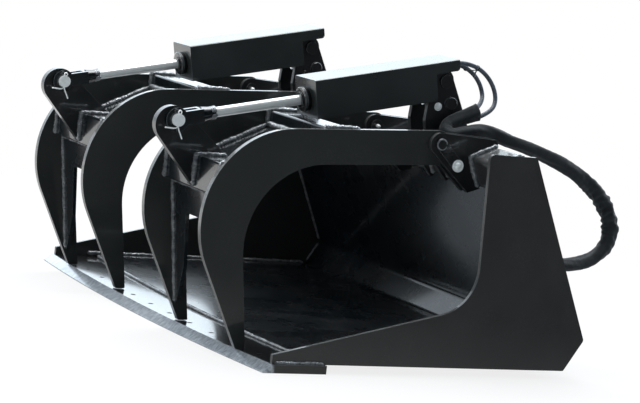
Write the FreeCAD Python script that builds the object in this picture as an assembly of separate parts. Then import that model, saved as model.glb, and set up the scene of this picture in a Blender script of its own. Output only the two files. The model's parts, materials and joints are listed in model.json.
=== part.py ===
import FreeCAD, Part
import math
import os

V = FreeCAD.Vector

# A hydraulic grapple bucket for a compact loader. X runs across the bucket and Y from its mouth
# to its back. The ground is z = 0 and y = 0 joins the two front corners of the cutting edge.
# Positive X is the operator's left. Lengths are in millimetres and angles in degrees.

# Cutting edge: a flat bar bowed forward, with bolt holes for a replaceable edge
bucket_width = 1829.0
edge_bow = 45.0
edge_depth = 206.0
edge_thick = 25.4
edge_bevel = 29.0
edge_land = 3.0
hole_pitch = 152.4
hole_pairs = 5
hole_dia = 17.46
hole_inset = 70.0

# Bowl: one bent sheet between two side plates
sheet_thick = 9.5
floor_inset = 187.0
bend_radius = 25.0
fold_height = 118.0
corner_angle = 58.0
back_lean = 24.0
sheet_cover = 85.0

# Side plates
side_inset = 12.9
side_thick = 12.7
side_overhang = 28.4
heel_overhang = 22.5
side_drop = 7.8
nose_back = 32.0
nose_height = 52.0
nose_corner = 3.0
arm_rise = 13.8
front_ahead = 23.5
front_foot_height = 324.0
front_lean = 2.0
side_curve = 145.0
side_front_corner = 14.0
side_rear_corner = 5.0
side_back_corner = 12.0
side_heel_corner = 8.0

# Square beam across the top, turned to the lean of the back
beam_size = 101.6
beam_wall = 9.5
beam_front = 714.5
beam_height = 645.5

# Wear bars under the floor
wear_width = 102.0
wear_count = 4
wear_pitch = 440.0
wear_start = 222.0
wear_length = 740.0
wear_corner = 4.0

# Hinges of the two grapples, placed from the front top corner of the beam
grapple_inset = 436.5
tine_spread = 434.0
hinge_ahead = 107.5
hinge_above = 34.5
pin_dia = 38.1
run_gap = 0.05
ear_gap = 22.2
ear_thick = 15.9
ear_head = 35.0
ear_rise = 59.0
ear_chin = 37.6
ear_chin_drop = 15.3
ear_heel = 6.0
hub_dia = 63.5
hub_gap = 0.6
bush_dia = 50.8
bush_length = 10.0
pin_proud = 4.0
nipple_dia = 11.0
nipple_height = 6.0
keeper_thick = 8.0
keeper_width = 36.0
keeper_behind = 61.6
keeper_below = 61.5
bolt_dia = 12.7
bolt_head = 22.0
bolt_rise = 6.5
washer_dia = 38.0
washer_thick = 2.5
small_washer_dia = 26.0

# Tines, flame-cut from plate
tine_thick = 19.05
tip_y = 3.0
tip_clear = 1.6
tip_width = 33.4
tip_corner = 4.0
outer_lean = 26.8
inner_lean = 8.5
tine_outer_radius = 290.0
tine_inner_radius = 256.0
arm_slope = 2.9
arm_above_hinge = 39.8
arm_depth = 106.0
arm_tail = 48.0
arm_tail_radius = 46.0

# Members that join the two tines of a grapple, placed from the hinge
tube_size = 101.6
tube_wall = 6.35
front_tube_ahead = 701.0
front_tube_below = 106.0
rear_tube_ahead = 371.0
rear_tube_above = 23.0
cover_thick = 9.5
cover_low_below = 133.0
cover_high_below = 25.0
claw_thick = 12.7
claw_set_back = 26.0
claw_lean = 7.8
claw_depth = 93.0
claw_length = 398.0
claw_leg = 101.0
claw_knee = 75.0
claw_knee_depth = 267.0
claw_tip = 12.0
claw_tip_rise = 4.0
claw_corner = 12.0

# Lug for the rod end
lug_thick = 25.4
lug_head = 56.0
lug_head_back = 7.0
lug_head_drop = 16.0
lug_tip_drop = 96.0
lug_slot_gap = 0.6
lug_slot_steps = 6

# Motion from closed to open: the cylinder and its ram follow the hinge at constant ratios
open_angle = 50.0
cylinder_follow = 0.916
ram_follow = 183.0

# Cylinders, placed from the hinge. Their lengths are measured from the rod pin.
rod_pin_ahead = 783.0
rod_pin_below = 3.0
base_behind = 95.0
base_above = 177.0
rod_dia = 31.75
bore_dia = 63.5
barrel_dia = 76.2
fork_gap = 0.5
fork_cheek = 15.9
fork_eye = 36.0
fork_height = 41.0
fork_slot = 76.0
fork_length = 88.0
neck_base_dia = 47.0
neck_dia = 34.75
neck_end = 131.0
rod_socket = 8.0
gland_start = 421.0
gland_step = 6.0
gland_inside = 28.0
wiper_dia = 48.2
wiper_length = 5.0
barrel_start = 445.0
barrel_end = 838.0
cap_length = 18.0
eye_radius = 38.0
eye_width = 76.0
eye_flat = 6.0
piston_start = 476.0
piston_length = 38.0
groove_width = 6.0
groove_depth = 2.0
groove_first = 8.0
groove_pitch = 14.0
piston_nut_dia = 36.0
piston_nut_length = 14.0
rod_pin_head = 6.0
rod_pin_head_thick = 7.0
rod_pin_proud = 12.0
split_hole_dia = 5.2
split_back = 7.0

# Ports and lines on top of a cylinder
port_along = 812.0
front_port_along = 492.0
port_dia = 24.0
port_bore = 12.0
port_lift = 2.0
elbow_size = 16.0
elbow_length = 24.0
nut_dia = 15.0
nut_length = 30.0
hose_tail_dia = 12.0
union_dia = 16.0
union_length = 34.0
line_end = 869.6
line_offset = 19.0
line_dia = 10.0

# Guard over a cylinder
guard_width = 144.8
guard_wall = 6.35
guard_above = 65.0
guard_below = 54.0
guard_start = 441.0
guard_side_end = 857.0
guard_end = 942.0
guard_lip = 30.0
guard_lip_corner = 12.0
guard_corner = 10.0
saddle_length = 40.0
saddle_width = 26.0
saddle_shift = 5.0
saddle_starts = (531.0, 711.0)

# Towers that carry the cylinders, placed from the base pin
tower_gap = 82.6
tower_thick = 15.9
tower_head = 27.0
tower_head_corner = 18.0
tower_rear_corner = 14.0
tower_kink_ahead = 57.0
tower_kink_below = 128.0
tower_front_lean = 4.0
tower_foot_lean = 12.0
tower_foot_length = 95.0
tower_rear_lean = 26.0
tower_chin = 12.0
tower_chin_drop = 6.0
tower_corner = 8.0
spacer_dia = 40.0
spacer_behind = 24.0
spacer_below = 67.0
spacer_stand = 12.0
spacer_chamfer = 2.0
base_keeper_ahead = 18.0
base_keeper_below = 80.0
pin_head_dia = 43.0
pin_head_thick = 7.0
pin_ring_thick = 8.0
pin_ring_gap = 2.0
pin_ring_proud = 4.0

# Attachment plate on the back, as wide as the bucket less a margin on each side
attach_margin = 349.5
attach_height = 436.0
attach_thick = 9.5
attach_low = 62.0
attach_stand = 52.0
attach_hook = 42.0
attach_hook_angle = 50.0
attach_ledge = 62.0
attach_hook_bend = 3.0
attach_ledge_bend = 5.0
slot_width = 27.0
slot_length = 55.0
slot_margin = 65.0
slot_edge = 14.0
rib_thick = 9.5
rib_inset = 14.0
rib_rise = 26.0
rib_margin = 25.0
rib_middle = 190.0

# Hoses, their sleeve and the couplers. The points are measured from the left base pin.
hose_dia = 14.0
sleeve_dia = 44.0
coupler_dia = 34.0
coupler_nose = 26.0
coupler_nut_dia = 30.0
coupler_tail_dia = 18.0
coupler_tail_end = 14.0
coupler_nut_end = 30.0
coupler_collar_end = 60.0
coupler_length = 88.0
coupler_apart = 40.0
coupler_play = 0.4
holder_thick = 6.35
holder_margin = 8.0
outer_hose_points = (
    V(19, -35.4, 41.8), V(19, 23, 53.8), V(19, 83, 60), V(22, 139, 45), V(33, 180, 5), V(54, 190, -45),
    V(79, 162, -82), V(92.3, 113, -99.3),
)
inner_hose_points = (
    V(-19, -35.4, 41.8), V(-19, 17, 52.5), V(-16, 73, 54), V(-7, 125, 33), V(10, 154, -8),
    V(42, 150, -57), V(78, 107, -75),
)
sleeve_points = (
    V(88, 106, -86), V(87, 55, -105), V(86.6, 9, -130.3), V(100.9, -6.4, -146.5), V(121.1, -6.4, -156),
    V(135.4, 9, -158), V(136, 48, -146), V(134, 104, -135), V(133, 153, -147), V(134, 210, -165),
    V(136, 275, -182), V(138, 344, -203), V(140, 410, -228), V(142, 476, -260), V(144, 538, -301),
    V(146, 588, -355), V(148, 614, -417), V(150, 606, -475), V(154, 565, -515), V(160, 518, -532),
    V(172, 464, -541), V(172, 410, -541),
)

parts = "parts"
os.makedirs(parts, exist_ok=True)


def write(name, *solids):
    """Write one node. Solids that do not touch stay separate solids of that node."""
    shape = solids[0] if len(solids) == 1 else Part.makeCompound(list(solids))
    shape.exportStep(os.path.join(parts, name + ".step"))
    print(name, len(shape.Solids), round(shape.Volume / 1000.0, 1), shape.isValid())


def turn(degrees, y, z):
    """Turn the direction (y, z) by an angle, from Y towards Z."""
    a = math.radians(degrees)
    return y * math.cos(a) - z * math.sin(a), y * math.sin(a) + z * math.cos(a)


def meet(p, p_way, q, q_way):
    """The point where the line through p along p_way crosses the line through q along q_way."""
    cross = p_way[0] * q_way[1] - p_way[1] * q_way[0]
    t = ((q[0] - p[0]) * q_way[1] - (q[1] - p[1]) * q_way[0]) / cross
    return p[0] + t * p_way[0], p[1] + t * p_way[1]


def rounded_face(corners, place):
    """A flat face with straight sides. A corner (a, b, r) is rounded by an arc of radius r.
    place turns a pair (a, b) into a point in space."""
    count = len(corners)
    starts, ends, middles = [], [], []
    for i, corner in enumerate(corners):
        here = V(corner[0], corner[1], 0)
        radius = corner[2] if len(corner) > 2 else 0.0
        before = V(*corners[i - 1][:2], 0) - here
        after = V(*corners[(i + 1) % count][:2], 0) - here
        before.normalize()
        after.normalize()
        half = before.getAngle(after) / 2.0
        reach = radius / math.tan(half)
        bisector = before + after
        if radius:
            bisector.normalize()
        starts.append(here + before * reach)
        ends.append(here + after * reach)
        middles.append(here + bisector * (radius / math.sin(half) - radius))
    edges = []
    for i in range(count):
        a, m, b = (place(p.x, p.y) for p in (starts[i], middles[i], ends[i]))
        if (a - b).Length > 1e-6:
            edges.append(Part.Arc(a, m, b).toShape())
        c = place(starts[(i + 1) % count].x, starts[(i + 1) % count].y)
        if (c - b).Length > 1e-6:
            edges.append(Part.LineSegment(b, c).toShape())
    return Part.Face(Part.Wire(edges))


def plate(corners, low_x, thick):
    """A plate that stands across X, cut to an outline of (y, z) corners."""
    return rounded_face(corners, lambda y, z: V(low_x, y, z)).extrude(V(thick, 0, 0))


def centred_plate(corners, x, thick):
    return plate(corners, x - thick / 2.0, thick)


def bar_x(radius, low_x, high_x, y, z):
    """A round bar along X."""
    return Part.makeCylinder(radius, high_x - low_x, V(low_x, y, z), V(1, 0, 0))


def square_corners(y, z, size, radius):
    """The outline of a square tube whose front top corner is at (y, z)."""
    return [(y, z, radius), (y + size, z, radius), (y + size, z - size, radius), (y, z - size, radius)]


def square_tube(low_x, high_x, y, z, size, wall):
    outer = plate(square_corners(y, z, size, wall), low_x, high_x - low_x)
    inner = plate(square_corners(y + wall, z - wall, size - 2 * wall, wall / 2.0), low_x, high_x - low_x)
    return outer.cut(inner)


def tube_along(points, radius, name):
    """A round hose: straight runs joined by tangent arcs as large as the runs allow."""
    edges = []
    last = points[0]
    tightest = 1e9
    for before, here, after in zip(points, points[1:], points[2:]):
        way_in, way_out = here - before, after - here
        run = min(way_in.Length, way_out.Length)
        way_in.normalize()
        way_out.normalize()
        bend = way_in.getAngle(way_out)
        reach = 0.45 * run
        tightest = min(tightest, reach / math.tan(bend / 2.0))
        start, end = here - way_in * reach, here + way_out * reach
        inward = way_out - way_in
        inward.normalize()
        arc_radius = reach / math.tan(bend / 2.0)
        middle = here + inward * (arc_radius / math.cos(bend / 2.0) - arc_radius)
        edges.append(Part.LineSegment(last, start).toShape())
        edges.append(Part.Arc(start, middle, end).toShape())
        last = end
    edges.append(Part.LineSegment(last, points[-1]).toShape())
    path = Part.Wire(edges)
    profile = Part.Wire([Part.Circle(points[0], points[1] - points[0], radius).toShape()])
    tube = path.makePipeShell([profile], True, False)
    expected = math.pi * radius * radius * path.Length
    print(name, "length", round(path.Length, 1), "tightest radius", round(tightest, 1),
          "volume over section times length", round(tube.Volume / expected, 4))
    return tube


# Positions that follow from the driving dimensions
half_width = bucket_width / 2.0
edge_radius = (half_width ** 2 + edge_bow ** 2) / (2 * edge_bow)
edge_centre = edge_radius - edge_bow
floor_top = edge_thick + sheet_thick
side_outer = half_width - side_inset
side_inner = side_outer - side_thick
hole_radius = edge_radius - hole_inset
attach_width = bucket_width - 2 * attach_margin
slot_spacing = attach_width - 2 * slot_margin
rib_end = attach_width / 2.0 - rib_margin
grapple_x = half_width - grapple_inset
hinge_y = beam_front - hinge_ahead
hinge_z = beam_height + hinge_above
front_tube_y = hinge_y - front_tube_ahead
front_tube_top = hinge_z - front_tube_below
rear_tube_y = hinge_y - rear_tube_ahead
rear_tube_top = hinge_z + rear_tube_above
rod_pin_y = hinge_y - rod_pin_ahead
rod_pin_z = hinge_z - rod_pin_below
base_y = hinge_y + base_behind
base_z = hinge_z + base_above
cylinder_length = math.dist((rod_pin_y, rod_pin_z), (base_y, base_z))
cylinder_tilt = math.degrees(math.atan2(base_z - rod_pin_z, base_y - rod_pin_y))
spacer_place = (base_y + spacer_behind, base_z - spacer_below)
base_keeper = (base_y - base_keeper_ahead, base_z - base_keeper_below)
left_base = V(grapple_x, base_y, base_z)

up_back = turn(back_lean, 0, 1)
out_back = turn(back_lean, 1, 0)
beam_along = turn(back_lean, 1, 0)
beam_down = turn(back_lean, 0, -1)


def beam_point(along, down):
    """A point of the beam's section, measured from its front top corner."""
    return (beam_front + along * beam_along[0] + down * beam_down[0],
            beam_height + along * beam_along[1] + down * beam_down[1])


beam_top = beam_point(beam_size, 0)
side_top = beam_top[1] - side_drop
beam_low_front = beam_point(0, beam_size)
beam_low_rear = beam_point(beam_size, beam_size)
fold_high = (meet(beam_low_rear, up_back, (0, fold_height), (1, 0))[0], fold_height)
corner_way = turn(corner_angle, 1, 0)
fold_low = meet(fold_high, corner_way, (0, floor_top), (1, 0))
back_length = math.dist(fold_high, beam_low_rear)


def back_point(up, out):
    """A point behind the bowl: up along the back's inner face from its fold, out to the rear."""
    return (fold_high[0] + up * up_back[0] + out * out_back[0],
            fold_high[1] + up * up_back[1] + out * out_back[1])


def edge_disc(radius, low, high):
    """A disc about the centre that the bow of the cutting edge is drawn from."""
    return Part.makeCylinder(radius, high - low, V(0, edge_centre, low))


def cutting_edge():
    """The section of the bar is turned about the centre of its bow, and cut to the bucket's width."""
    front, rear = edge_radius, edge_radius - edge_depth
    section = [(front, 0), (front, edge_land), (front - edge_bevel, edge_thick), (rear, edge_thick),
               (rear, 0), (front, 0)]
    spread = math.degrees(math.asin(half_width / rear)) + 0.5
    face = Part.Face(Part.makePolygon([V(0, edge_centre - r, z) for r, z in section]))
    middle = V(0, edge_centre, 0)
    swept = face.rotate(middle, V(0, 0, 1), -spread).revolve(middle, V(0, 0, 1), 2 * spread)
    bar = swept.common(Part.makeBox(bucket_width, 2 * edge_depth + 2 * edge_bow, edge_thick,
                                    V(-half_width, -2 * edge_bow, 0)))
    for i in range(-hole_pairs, hole_pairs + 1):
        x = i * hole_pitch
        y = edge_centre - math.sqrt(hole_radius ** 2 - x ** 2)
        bar = bar.cut(Part.makeCylinder(hole_dia / 2.0, 2 * edge_thick, V(x, y, -edge_thick / 2.0)))
    return bar


def bowl_sheet():
    """Floor, corner and back, bent from one sheet. The floor's front follows the cutting edge."""
    top = back_point(back_length + sheet_cover, 0)
    outer_top = back_point(back_length + sheet_cover, sheet_thick)
    outer_high = meet(back_point(0, sheet_thick), up_back, shifted(fold_low, sheet_thick), corner_way)
    outer_low = meet(shifted(fold_low, sheet_thick), corner_way, (0, edge_thick), (1, 0))
    inner_bend, outer_bend = bend_radius, bend_radius + sheet_thick
    corners = [(-edge_bow, floor_top), (*fold_low, inner_bend), (*fold_high, inner_bend), top,
               outer_top, (*outer_high, outer_bend), (*outer_low, outer_bend),
               (-edge_bow, edge_thick)]
    sheet = plate(corners, -side_inner, 2 * side_inner)
    return sheet.common(edge_disc(edge_radius - floor_inset, -sheet_thick, 2 * beam_height))


def shifted(point, out):
    """Move a point of the corner strip square to it, out of the bowl."""
    way = turn(corner_angle, 0, -1)
    return point[0] + out * way[0], point[1] + out * way[1]


def side_plate(x):
    rear_way = up_back
    rear = back_point(0, side_overhang)
    heel_way = corner_way
    heel = shifted(fold_low, heel_overhang)
    arm_way = turn(arm_rise, 1, 0)
    front_way = turn(front_lean, 0, 1)
    foot = beam_front - front_ahead, front_foot_height
    corners = [
        (nose_back, edge_thick),
        (nose_back, nose_height, nose_corner),
        (*meet((nose_back, nose_height), arm_way, foot, front_way), side_curve),
        (*meet(foot, front_way, (0, side_top), (1, 0)), side_front_corner),
        (*meet(rear, rear_way, (0, side_top), (1, 0)), side_rear_corner),
        (*meet(rear, rear_way, heel, heel_way), side_back_corner),
        (*meet(heel, heel_way, (0, edge_thick), (1, 0)), side_heel_corner),
    ]
    return plate(corners, x, side_thick)


def top_beam():
    place = lambda a, d: V(-side_inner, *beam_point(a, d))
    outer = rounded_face([(0, 0, 2 * beam_wall), (beam_size, 0, 2 * beam_wall),
                          (beam_size, beam_size, 2 * beam_wall), (0, beam_size, 2 * beam_wall)], place)
    low, high = beam_wall, beam_size - beam_wall
    inner = rounded_face([(low, low, beam_wall), (high, low, beam_wall), (high, high, beam_wall),
                          (low, high, beam_wall)], place)
    across = V(2 * side_inner, 0, 0)
    return outer.extrude(across).cut(inner.extrude(across))


def wear_bars():
    """Flat bars with a sloped lead-in, from behind the cutting edge to the heel."""
    bars = []
    for i in range(wear_count):
        x = (i - (wear_count - 1) / 2.0) * wear_pitch
        end = wear_start + wear_length
        corners = [(wear_start, edge_thick), (wear_start + edge_thick, 0, wear_corner),
                   (end - edge_thick, 0, wear_corner), (end, edge_thick)]
        bars.append(centred_plate(corners, x, wear_width))
    return bars


def hinge_ear(low_x):
    """One ear: a round head at the pin and a foot notched over the top and front of the beam."""
    top_rear = meet(beam_top, up_back, (0, beam_height + ear_rise), (1, 0))
    head = (hinge_y, hinge_z)
    low = (beam_low_front[0] - ear_chin, beam_low_front[1] - ear_chin_drop)
    corners = [tangent(head, ear_head, low, -1), low,
               (beam_low_front[0] + ear_heel, beam_low_front[1] - run_gap), beam_low_front, (beam_front, beam_height), beam_top, top_rear,
               tangent(head, ear_head, top_rear, 1), head]
    foot = plate(corners, low_x, ear_thick)
    disc = bar_x(ear_head, low_x, low_x + ear_thick, *head)
    hole = bar_x(pin_dia / 2.0 + run_gap, low_x - 1, low_x + ear_thick + 1, *head)
    return foot.fuse(disc).removeSplitter().cut(hole)


def tangent(centre, radius, point, side):
    """Where a line from the point touches the circle, on one side or the other."""
    dy, dz = point[0] - centre[0], point[1] - centre[1]
    away = math.hypot(dy, dz)
    y, z = turn(side * math.degrees(math.acos(radius / away)), dy / away, dz / away)
    return centre[0] + radius * y, centre[1] + radius * z


def tine_places(x):
    return x - tine_spread / 2.0, x + tine_spread / 2.0


def round_ended(low_x, thick, radius, p, q):
    """A flat bar with round ends, from one (y, z) point to another."""
    ends = [bar_x(radius, low_x, low_x + thick, *point) for point in (p, q)]
    box = Part.makeBox(thick, math.dist(p, q), 2 * radius, V(0, 0, -radius))
    box.rotate(V(0, 0, 0), V(1, 0, 0), math.degrees(math.atan2(q[1] - p[1], q[0] - p[0])))
    box.translate(V(low_x, *p))
    return box.fuse(ends).removeSplitter()


def keeper_bolt(face, y, z, washer):
    """A bolt whose washer lies on a face: shank, washer and domed head."""
    shank = bar_x(bolt_dia / 2.0 - run_gap, face - ear_thick - keeper_thick, face, y, z)
    washer = bar_x(washer / 2.0, face, face + washer_thick, y, z)
    base = face + washer_thick
    round_radius = (bolt_head ** 2 / 4.0 + bolt_rise ** 2) / (2 * bolt_rise)
    dome = Part.makeSphere(round_radius, V(base + bolt_rise - round_radius, y, z))
    head = dome.common(bar_x(bolt_head / 2.0, base - run_gap, base + 2 * bolt_rise, y, z))
    return shank.fuse([washer, head]).removeSplitter()


def hinge_parts(x):
    """Ears, pins with their keepers, and keeper bolts of one grapple."""
    ears, pins, bolts = [], [], []
    place = hinge_y + keeper_behind, hinge_z - keeper_below
    for tine_x in tine_places(x):
        outer = tine_x + ear_gap / 2.0
        inner = tine_x - ear_gap / 2.0 - ear_thick
        face = outer + ear_thick
        ears.append(hinge_ear(inner))
        ears.append(hinge_ear(outer).cut(bar_x(bolt_dia / 2.0, outer - 1, face + 1, *place)))
        pin = bar_x(pin_dia / 2.0, inner - pin_proud, face + keeper_thick, hinge_y, hinge_z)
        keeper = round_ended(face + run_gap, keeper_thick - run_gap, keeper_width / 2.0,
                             (hinge_y, hinge_z), place)
        keeper = keeper.cut(bar_x(bolt_dia / 2.0, face, face + 2 * keeper_thick, *place))
        pin = pin.fuse(keeper)
        if tine_x < x:
            pin = pin.fuse(Part.makeCone(nipple_dia / 2.0, nipple_dia / 4.0, nipple_height,
                                         V(face + keeper_thick, hinge_y, hinge_z), V(1, 0, 0)))
        pins.append(pin.removeSplitter())
        bolts.append(keeper_bolt(face + keeper_thick, *place, washer_dia))
    return ears, pins, bolts


def tower(x):
    """Two plates that straddle the cylinder's base eye and sit over the beam like the ears."""
    kink = base_y - tower_kink_ahead, base_z - tower_kink_below
    front_way = turn(-tower_front_lean, 0, 1)
    foot_way = turn(tower_foot_lean, 0, -1)
    foot = kink[0] + tower_foot_length * foot_way[0], kink[1] + tower_foot_length * foot_way[1]
    rear_way = turn(tower_rear_lean, 0, 1)
    rear_line = (base_y + tower_head / math.cos(math.radians(tower_rear_lean)), base_z)
    head_top = base_z + tower_head
    corners = [
        (*foot, tower_corner),
        (*kink, tower_corner),
        (*meet(kink, front_way, (0, head_top), (1, 0)), tower_head_corner),
        (*meet(rear_line, rear_way, (0, head_top), (1, 0)), tower_rear_corner),
        meet(rear_line, rear_way, beam_top, beam_along),
        beam_top,
        (beam_front, beam_height),
        beam_low_front,
        (beam_low_front[0] - tower_chin, beam_low_front[1] - tower_chin_drop),
    ]
    plates = []
    for low in (x - tower_gap / 2.0 - tower_thick, x + tower_gap / 2.0):
        one = plate(corners, low, tower_thick)
        for radius, place in ((pin_dia / 2.0 + run_gap, (base_y, base_z)),
                              (spacer_dia / 2.0, spacer_place),
                              (bolt_dia / 2.0, base_keeper)):
            one = one.cut(bar_x(radius, low - 1, low + tower_thick + 1, *place))
        plates.append(one)
    return plates


def tower_faces(x):
    reach = tower_gap / 2.0 + tower_thick
    return x - reach, x + reach


def spacer(x):
    """A round spacer welded through both tower plates, standing proud on each side."""
    low, high = tower_faces(x)
    bar = bar_x(spacer_dia / 2.0, low - spacer_stand, high + spacer_stand, *spacer_place)
    ends = [e for e in bar.Edges if isinstance(e.Curve, Part.Circle)]
    return bar.makeChamfer(spacer_chamfer, ends)


def base_pin(x):
    """The pin of the cylinder's base, with a head on the left and a ring on the right."""
    low, high = tower_faces(x)
    ring_end = low - pin_ring_gap
    ring_start = ring_end - pin_ring_thick
    pin = bar_x(pin_dia / 2.0, ring_start - pin_ring_proud, high + pin_head_thick, base_y, base_z)
    head = bar_x(pin_head_dia / 2.0, high + run_gap, high + pin_head_thick, base_y, base_z)
    ring = bar_x(pin_head_dia / 2.0, ring_start, ring_end, base_y, base_z)
    return pin.fuse([head, ring]).removeSplitter()


def attach_plate():
    """Loader attachment plate: a face with a hook along its top and a slotted ledge below."""
    inside, outside = sheet_thick + attach_stand, sheet_thick + attach_stand + attach_thick
    low, high = back_point(attach_low, inside), back_point(attach_low + attach_height, inside)
    face = back_point(attach_low, outside)
    hook_way = turn(attach_hook_angle, -up_back[0], -up_back[1])
    hook_under = turn(-90, attach_thick * hook_way[0], attach_thick * hook_way[1])
    hook_end = high[0] + attach_hook * hook_way[0], high[1] + attach_hook * hook_way[1]
    hook_low = hook_end[0] + hook_under[0], hook_end[1] + hook_under[1]
    ledge_end = low[0] + attach_ledge
    corners = [(*high, attach_thick), hook_end, hook_low,
               (*meet(face, up_back, hook_low, hook_way), attach_hook_bend),
               (*meet(face, up_back, (0, low[1]), (1, 0)), attach_ledge_bend), (ledge_end, low[1]),
               (ledge_end, low[1] - attach_thick),
               (*meet(low, up_back, (0, low[1] - attach_thick), (1, 0)), attach_thick)]
    body = centred_plate(corners, 0, attach_width)
    slot_y = low[0] + attach_ledge - slot_width / 2.0 - slot_edge
    under = low[1] - 2 * attach_thick
    for x in (-slot_spacing / 2.0, slot_spacing / 2.0):
        reach = (slot_length - slot_width) / 2.0
        cutter = Part.makeBox(2 * reach, slot_width, 3 * attach_thick,
                              V(x - reach, slot_y - slot_width / 2.0, under))
        for side in (-1, 1):
            cutter = cutter.fuse(Part.makeCylinder(slot_width / 2.0, 3 * attach_thick,
                                                   V(x + side * reach, slot_y, under)))
        body = body.cut(cutter)
    print("slots at y", round(slot_y, 2), "ledge top z", round(low[1], 2))
    return body


def attach_ribs():
    """Upright ribs between the bowl's back and the attachment plate."""
    ribs = []
    for x in (-rib_end, -rib_middle, rib_middle, rib_end):
        low, high = attach_low + rib_inset, attach_low + attach_height
        corners = [back_point(low, sheet_thick), back_point(high + rib_rise, sheet_thick),
                   back_point(high - rib_inset, sheet_thick + attach_stand),
                   back_point(low, sheet_thick + attach_stand)]
        ribs.append(centred_plate(corners, x, rib_thick))
    return ribs


def coupler_holder():
    """A bracket on the back that parks the two couplers."""
    end = left_base + sleeve_points[-1]
    half = coupler_apart / 2.0 + coupler_dia / 2.0 + holder_margin
    tall = coupler_dia / 2.0 + holder_margin
    stand = end.y - coupler_collar_end - holder_thick
    face = Part.makeBox(2 * half, holder_thick, 2 * tall, V(end.x - half, stand, end.z - tall))
    for side in (-1, 1):
        x = end.x + side * coupler_apart / 2.0
        face = face.cut(Part.makeCylinder(coupler_nose / 2.0 + coupler_play, 3 * holder_thick,
                                          V(x, stand - holder_thick, end.z), V(0, 1, 0)))
    walls = [meet(back_point(0, sheet_thick), up_back, (0, end.z + rise), (1, 0))[0] for rise in (-tall, tall)]
    corners = [(walls[0], end.z - tall), (stand, end.z - tall), (stand, end.z + tall),
               (walls[1], end.z + tall)]
    cheeks = [plate(corners, low, holder_thick) for low in (end.x - half, end.x + half - holder_thick)]
    return face.fuse(cheeks).removeSplitter()


def couplers():
    """Two quick couplers, each a hose tail, a nut, a collar and a nose in the holder."""
    end = left_base + sleeve_points[-1]
    steps = [(coupler_tail_dia, 0.0, coupler_tail_end), (coupler_nut_dia, coupler_tail_end, coupler_nut_end),
             (coupler_dia, coupler_nut_end, coupler_collar_end),
             (coupler_nose, coupler_collar_end, coupler_length)]
    found = []
    for side in (-1, 1):
        x = end.x + side * coupler_apart / 2.0
        solids = [Part.makeCylinder(wide / 2.0, b - a, V(x, end.y - a, end.z), V(0, -1, 0))
                  for wide, a, b in steps]
        found.append(solids[0].fuse(solids[1:]).removeSplitter())
    return found


def arm_lines():
    """Points on the top and bottom lines of a tine's arm, and their direction."""
    way = turn(arm_slope, 1, 0)
    top = (hinge_y, hinge_z + arm_above_hinge)
    square = turn(arm_slope, 0, -1)
    return top, (top[0] + arm_depth * square[0], top[1] + arm_depth * square[1]), way


def tine(x):
    """A tine: a straight tapered tip, a large bend and a straight arm back to the hinge."""
    tip_z = edge_thick + tip_clear
    outer_way = turn(outer_lean, 0, 1)
    inner_way = turn(inner_lean, 0, 1)
    top, bottom, way = arm_lines()
    tail = (hinge_y + arm_tail, hinge_z)
    tail_way = turn(arm_slope, 0, 1)
    corners = [
        (tip_y, tip_z, tip_corner),
        (*meet((tip_y, tip_z), outer_way, top, way), tine_outer_radius),
        (*meet(tail, tail_way, top, way), arm_tail_radius),
        (*meet(tail, tail_way, bottom, way), arm_tail_radius),
        (*meet((tip_y + tip_width, tip_z), inner_way, bottom, way), tine_inner_radius),
        (tip_y + tip_width, tip_z, tip_corner),
    ]
    hole = bar_x(hub_dia / 2.0, x - tine_thick, x + tine_thick, hinge_y, hinge_z)
    return centred_plate(corners, x, tine_thick).cut(hole)


def hub_and_bushes(x):
    """The hinge tube through a tine's tail, and the two bushes pressed into its ends."""
    half = ear_gap / 2.0 - hub_gap
    hub = bar_x(hub_dia / 2.0, x - half, x + half, hinge_y, hinge_z)
    hub = hub.cut(bar_x(bush_dia / 2.0, x - half - 1, x + half + 1, hinge_y, hinge_z))
    bushes = []
    for low in (x - half, x + half - bush_length):
        bush = bar_x(bush_dia / 2.0, low, low + bush_length, hinge_y, hinge_z)
        bore = bar_x(pin_dia / 2.0 + run_gap, low - 1, low + bush_length + 1, hinge_y, hinge_z)
        bushes.append(bush.cut(bore))
    return hub, bushes


def inside_faces(x):
    near, far = tine_places(x)
    return near + tine_thick / 2.0, far - tine_thick / 2.0


def cover_plate(x):
    """The sloped plate between the front and rear tubes."""
    low, high = inside_faces(x)
    start = (front_tube_y + tube_size, hinge_z - cover_low_below)
    end = (rear_tube_y, hinge_z - cover_high_below)
    corners = [start, end, (end[0], end[1] - cover_thick), (start[0], start[1] - cover_thick)]
    return plate(corners, low, high - low)


def claw_plate(x):
    """The plate below the front tube, with a tapered leg down the inside of each tine."""
    low, high = inside_faces(x)
    top = front_tube_top - tube_size
    left = [(low, -claw_thick), (low, claw_length), (low + claw_tip, claw_length - claw_tip_rise),
            (low + claw_knee, claw_knee_depth), (low + claw_leg, claw_depth, claw_corner)]
    corners = left + [(low + high - c[0], *c[1:]) for c in reversed(left)]
    down = turn(claw_lean, 0, -1)
    front = front_tube_y + claw_set_back
    face = rounded_face(corners, lambda a, d: V(a, front + d * down[0], top + d * down[1]))
    square = turn(claw_lean, 1, 0)
    sheet = face.extrude(V(0, claw_thick * square[0], claw_thick * square[1]))
    return sheet.cut(Part.makeBox(high - low, tube_size, tube_size, V(low, front_tube_y, top)))


def pin_in_lug(angle):
    """Where the rod pin sits in the lug once the grapple has opened by an angle."""
    slide = ram_follow * math.radians(angle)
    reach = cylinder_length - slide
    way = turn(cylinder_tilt - cylinder_follow * angle, -reach, 0)
    y, z = turn(angle, base_y + way[0] - hinge_y, base_z + way[1] - hinge_z)
    return hinge_y + y, hinge_z + z


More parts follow.
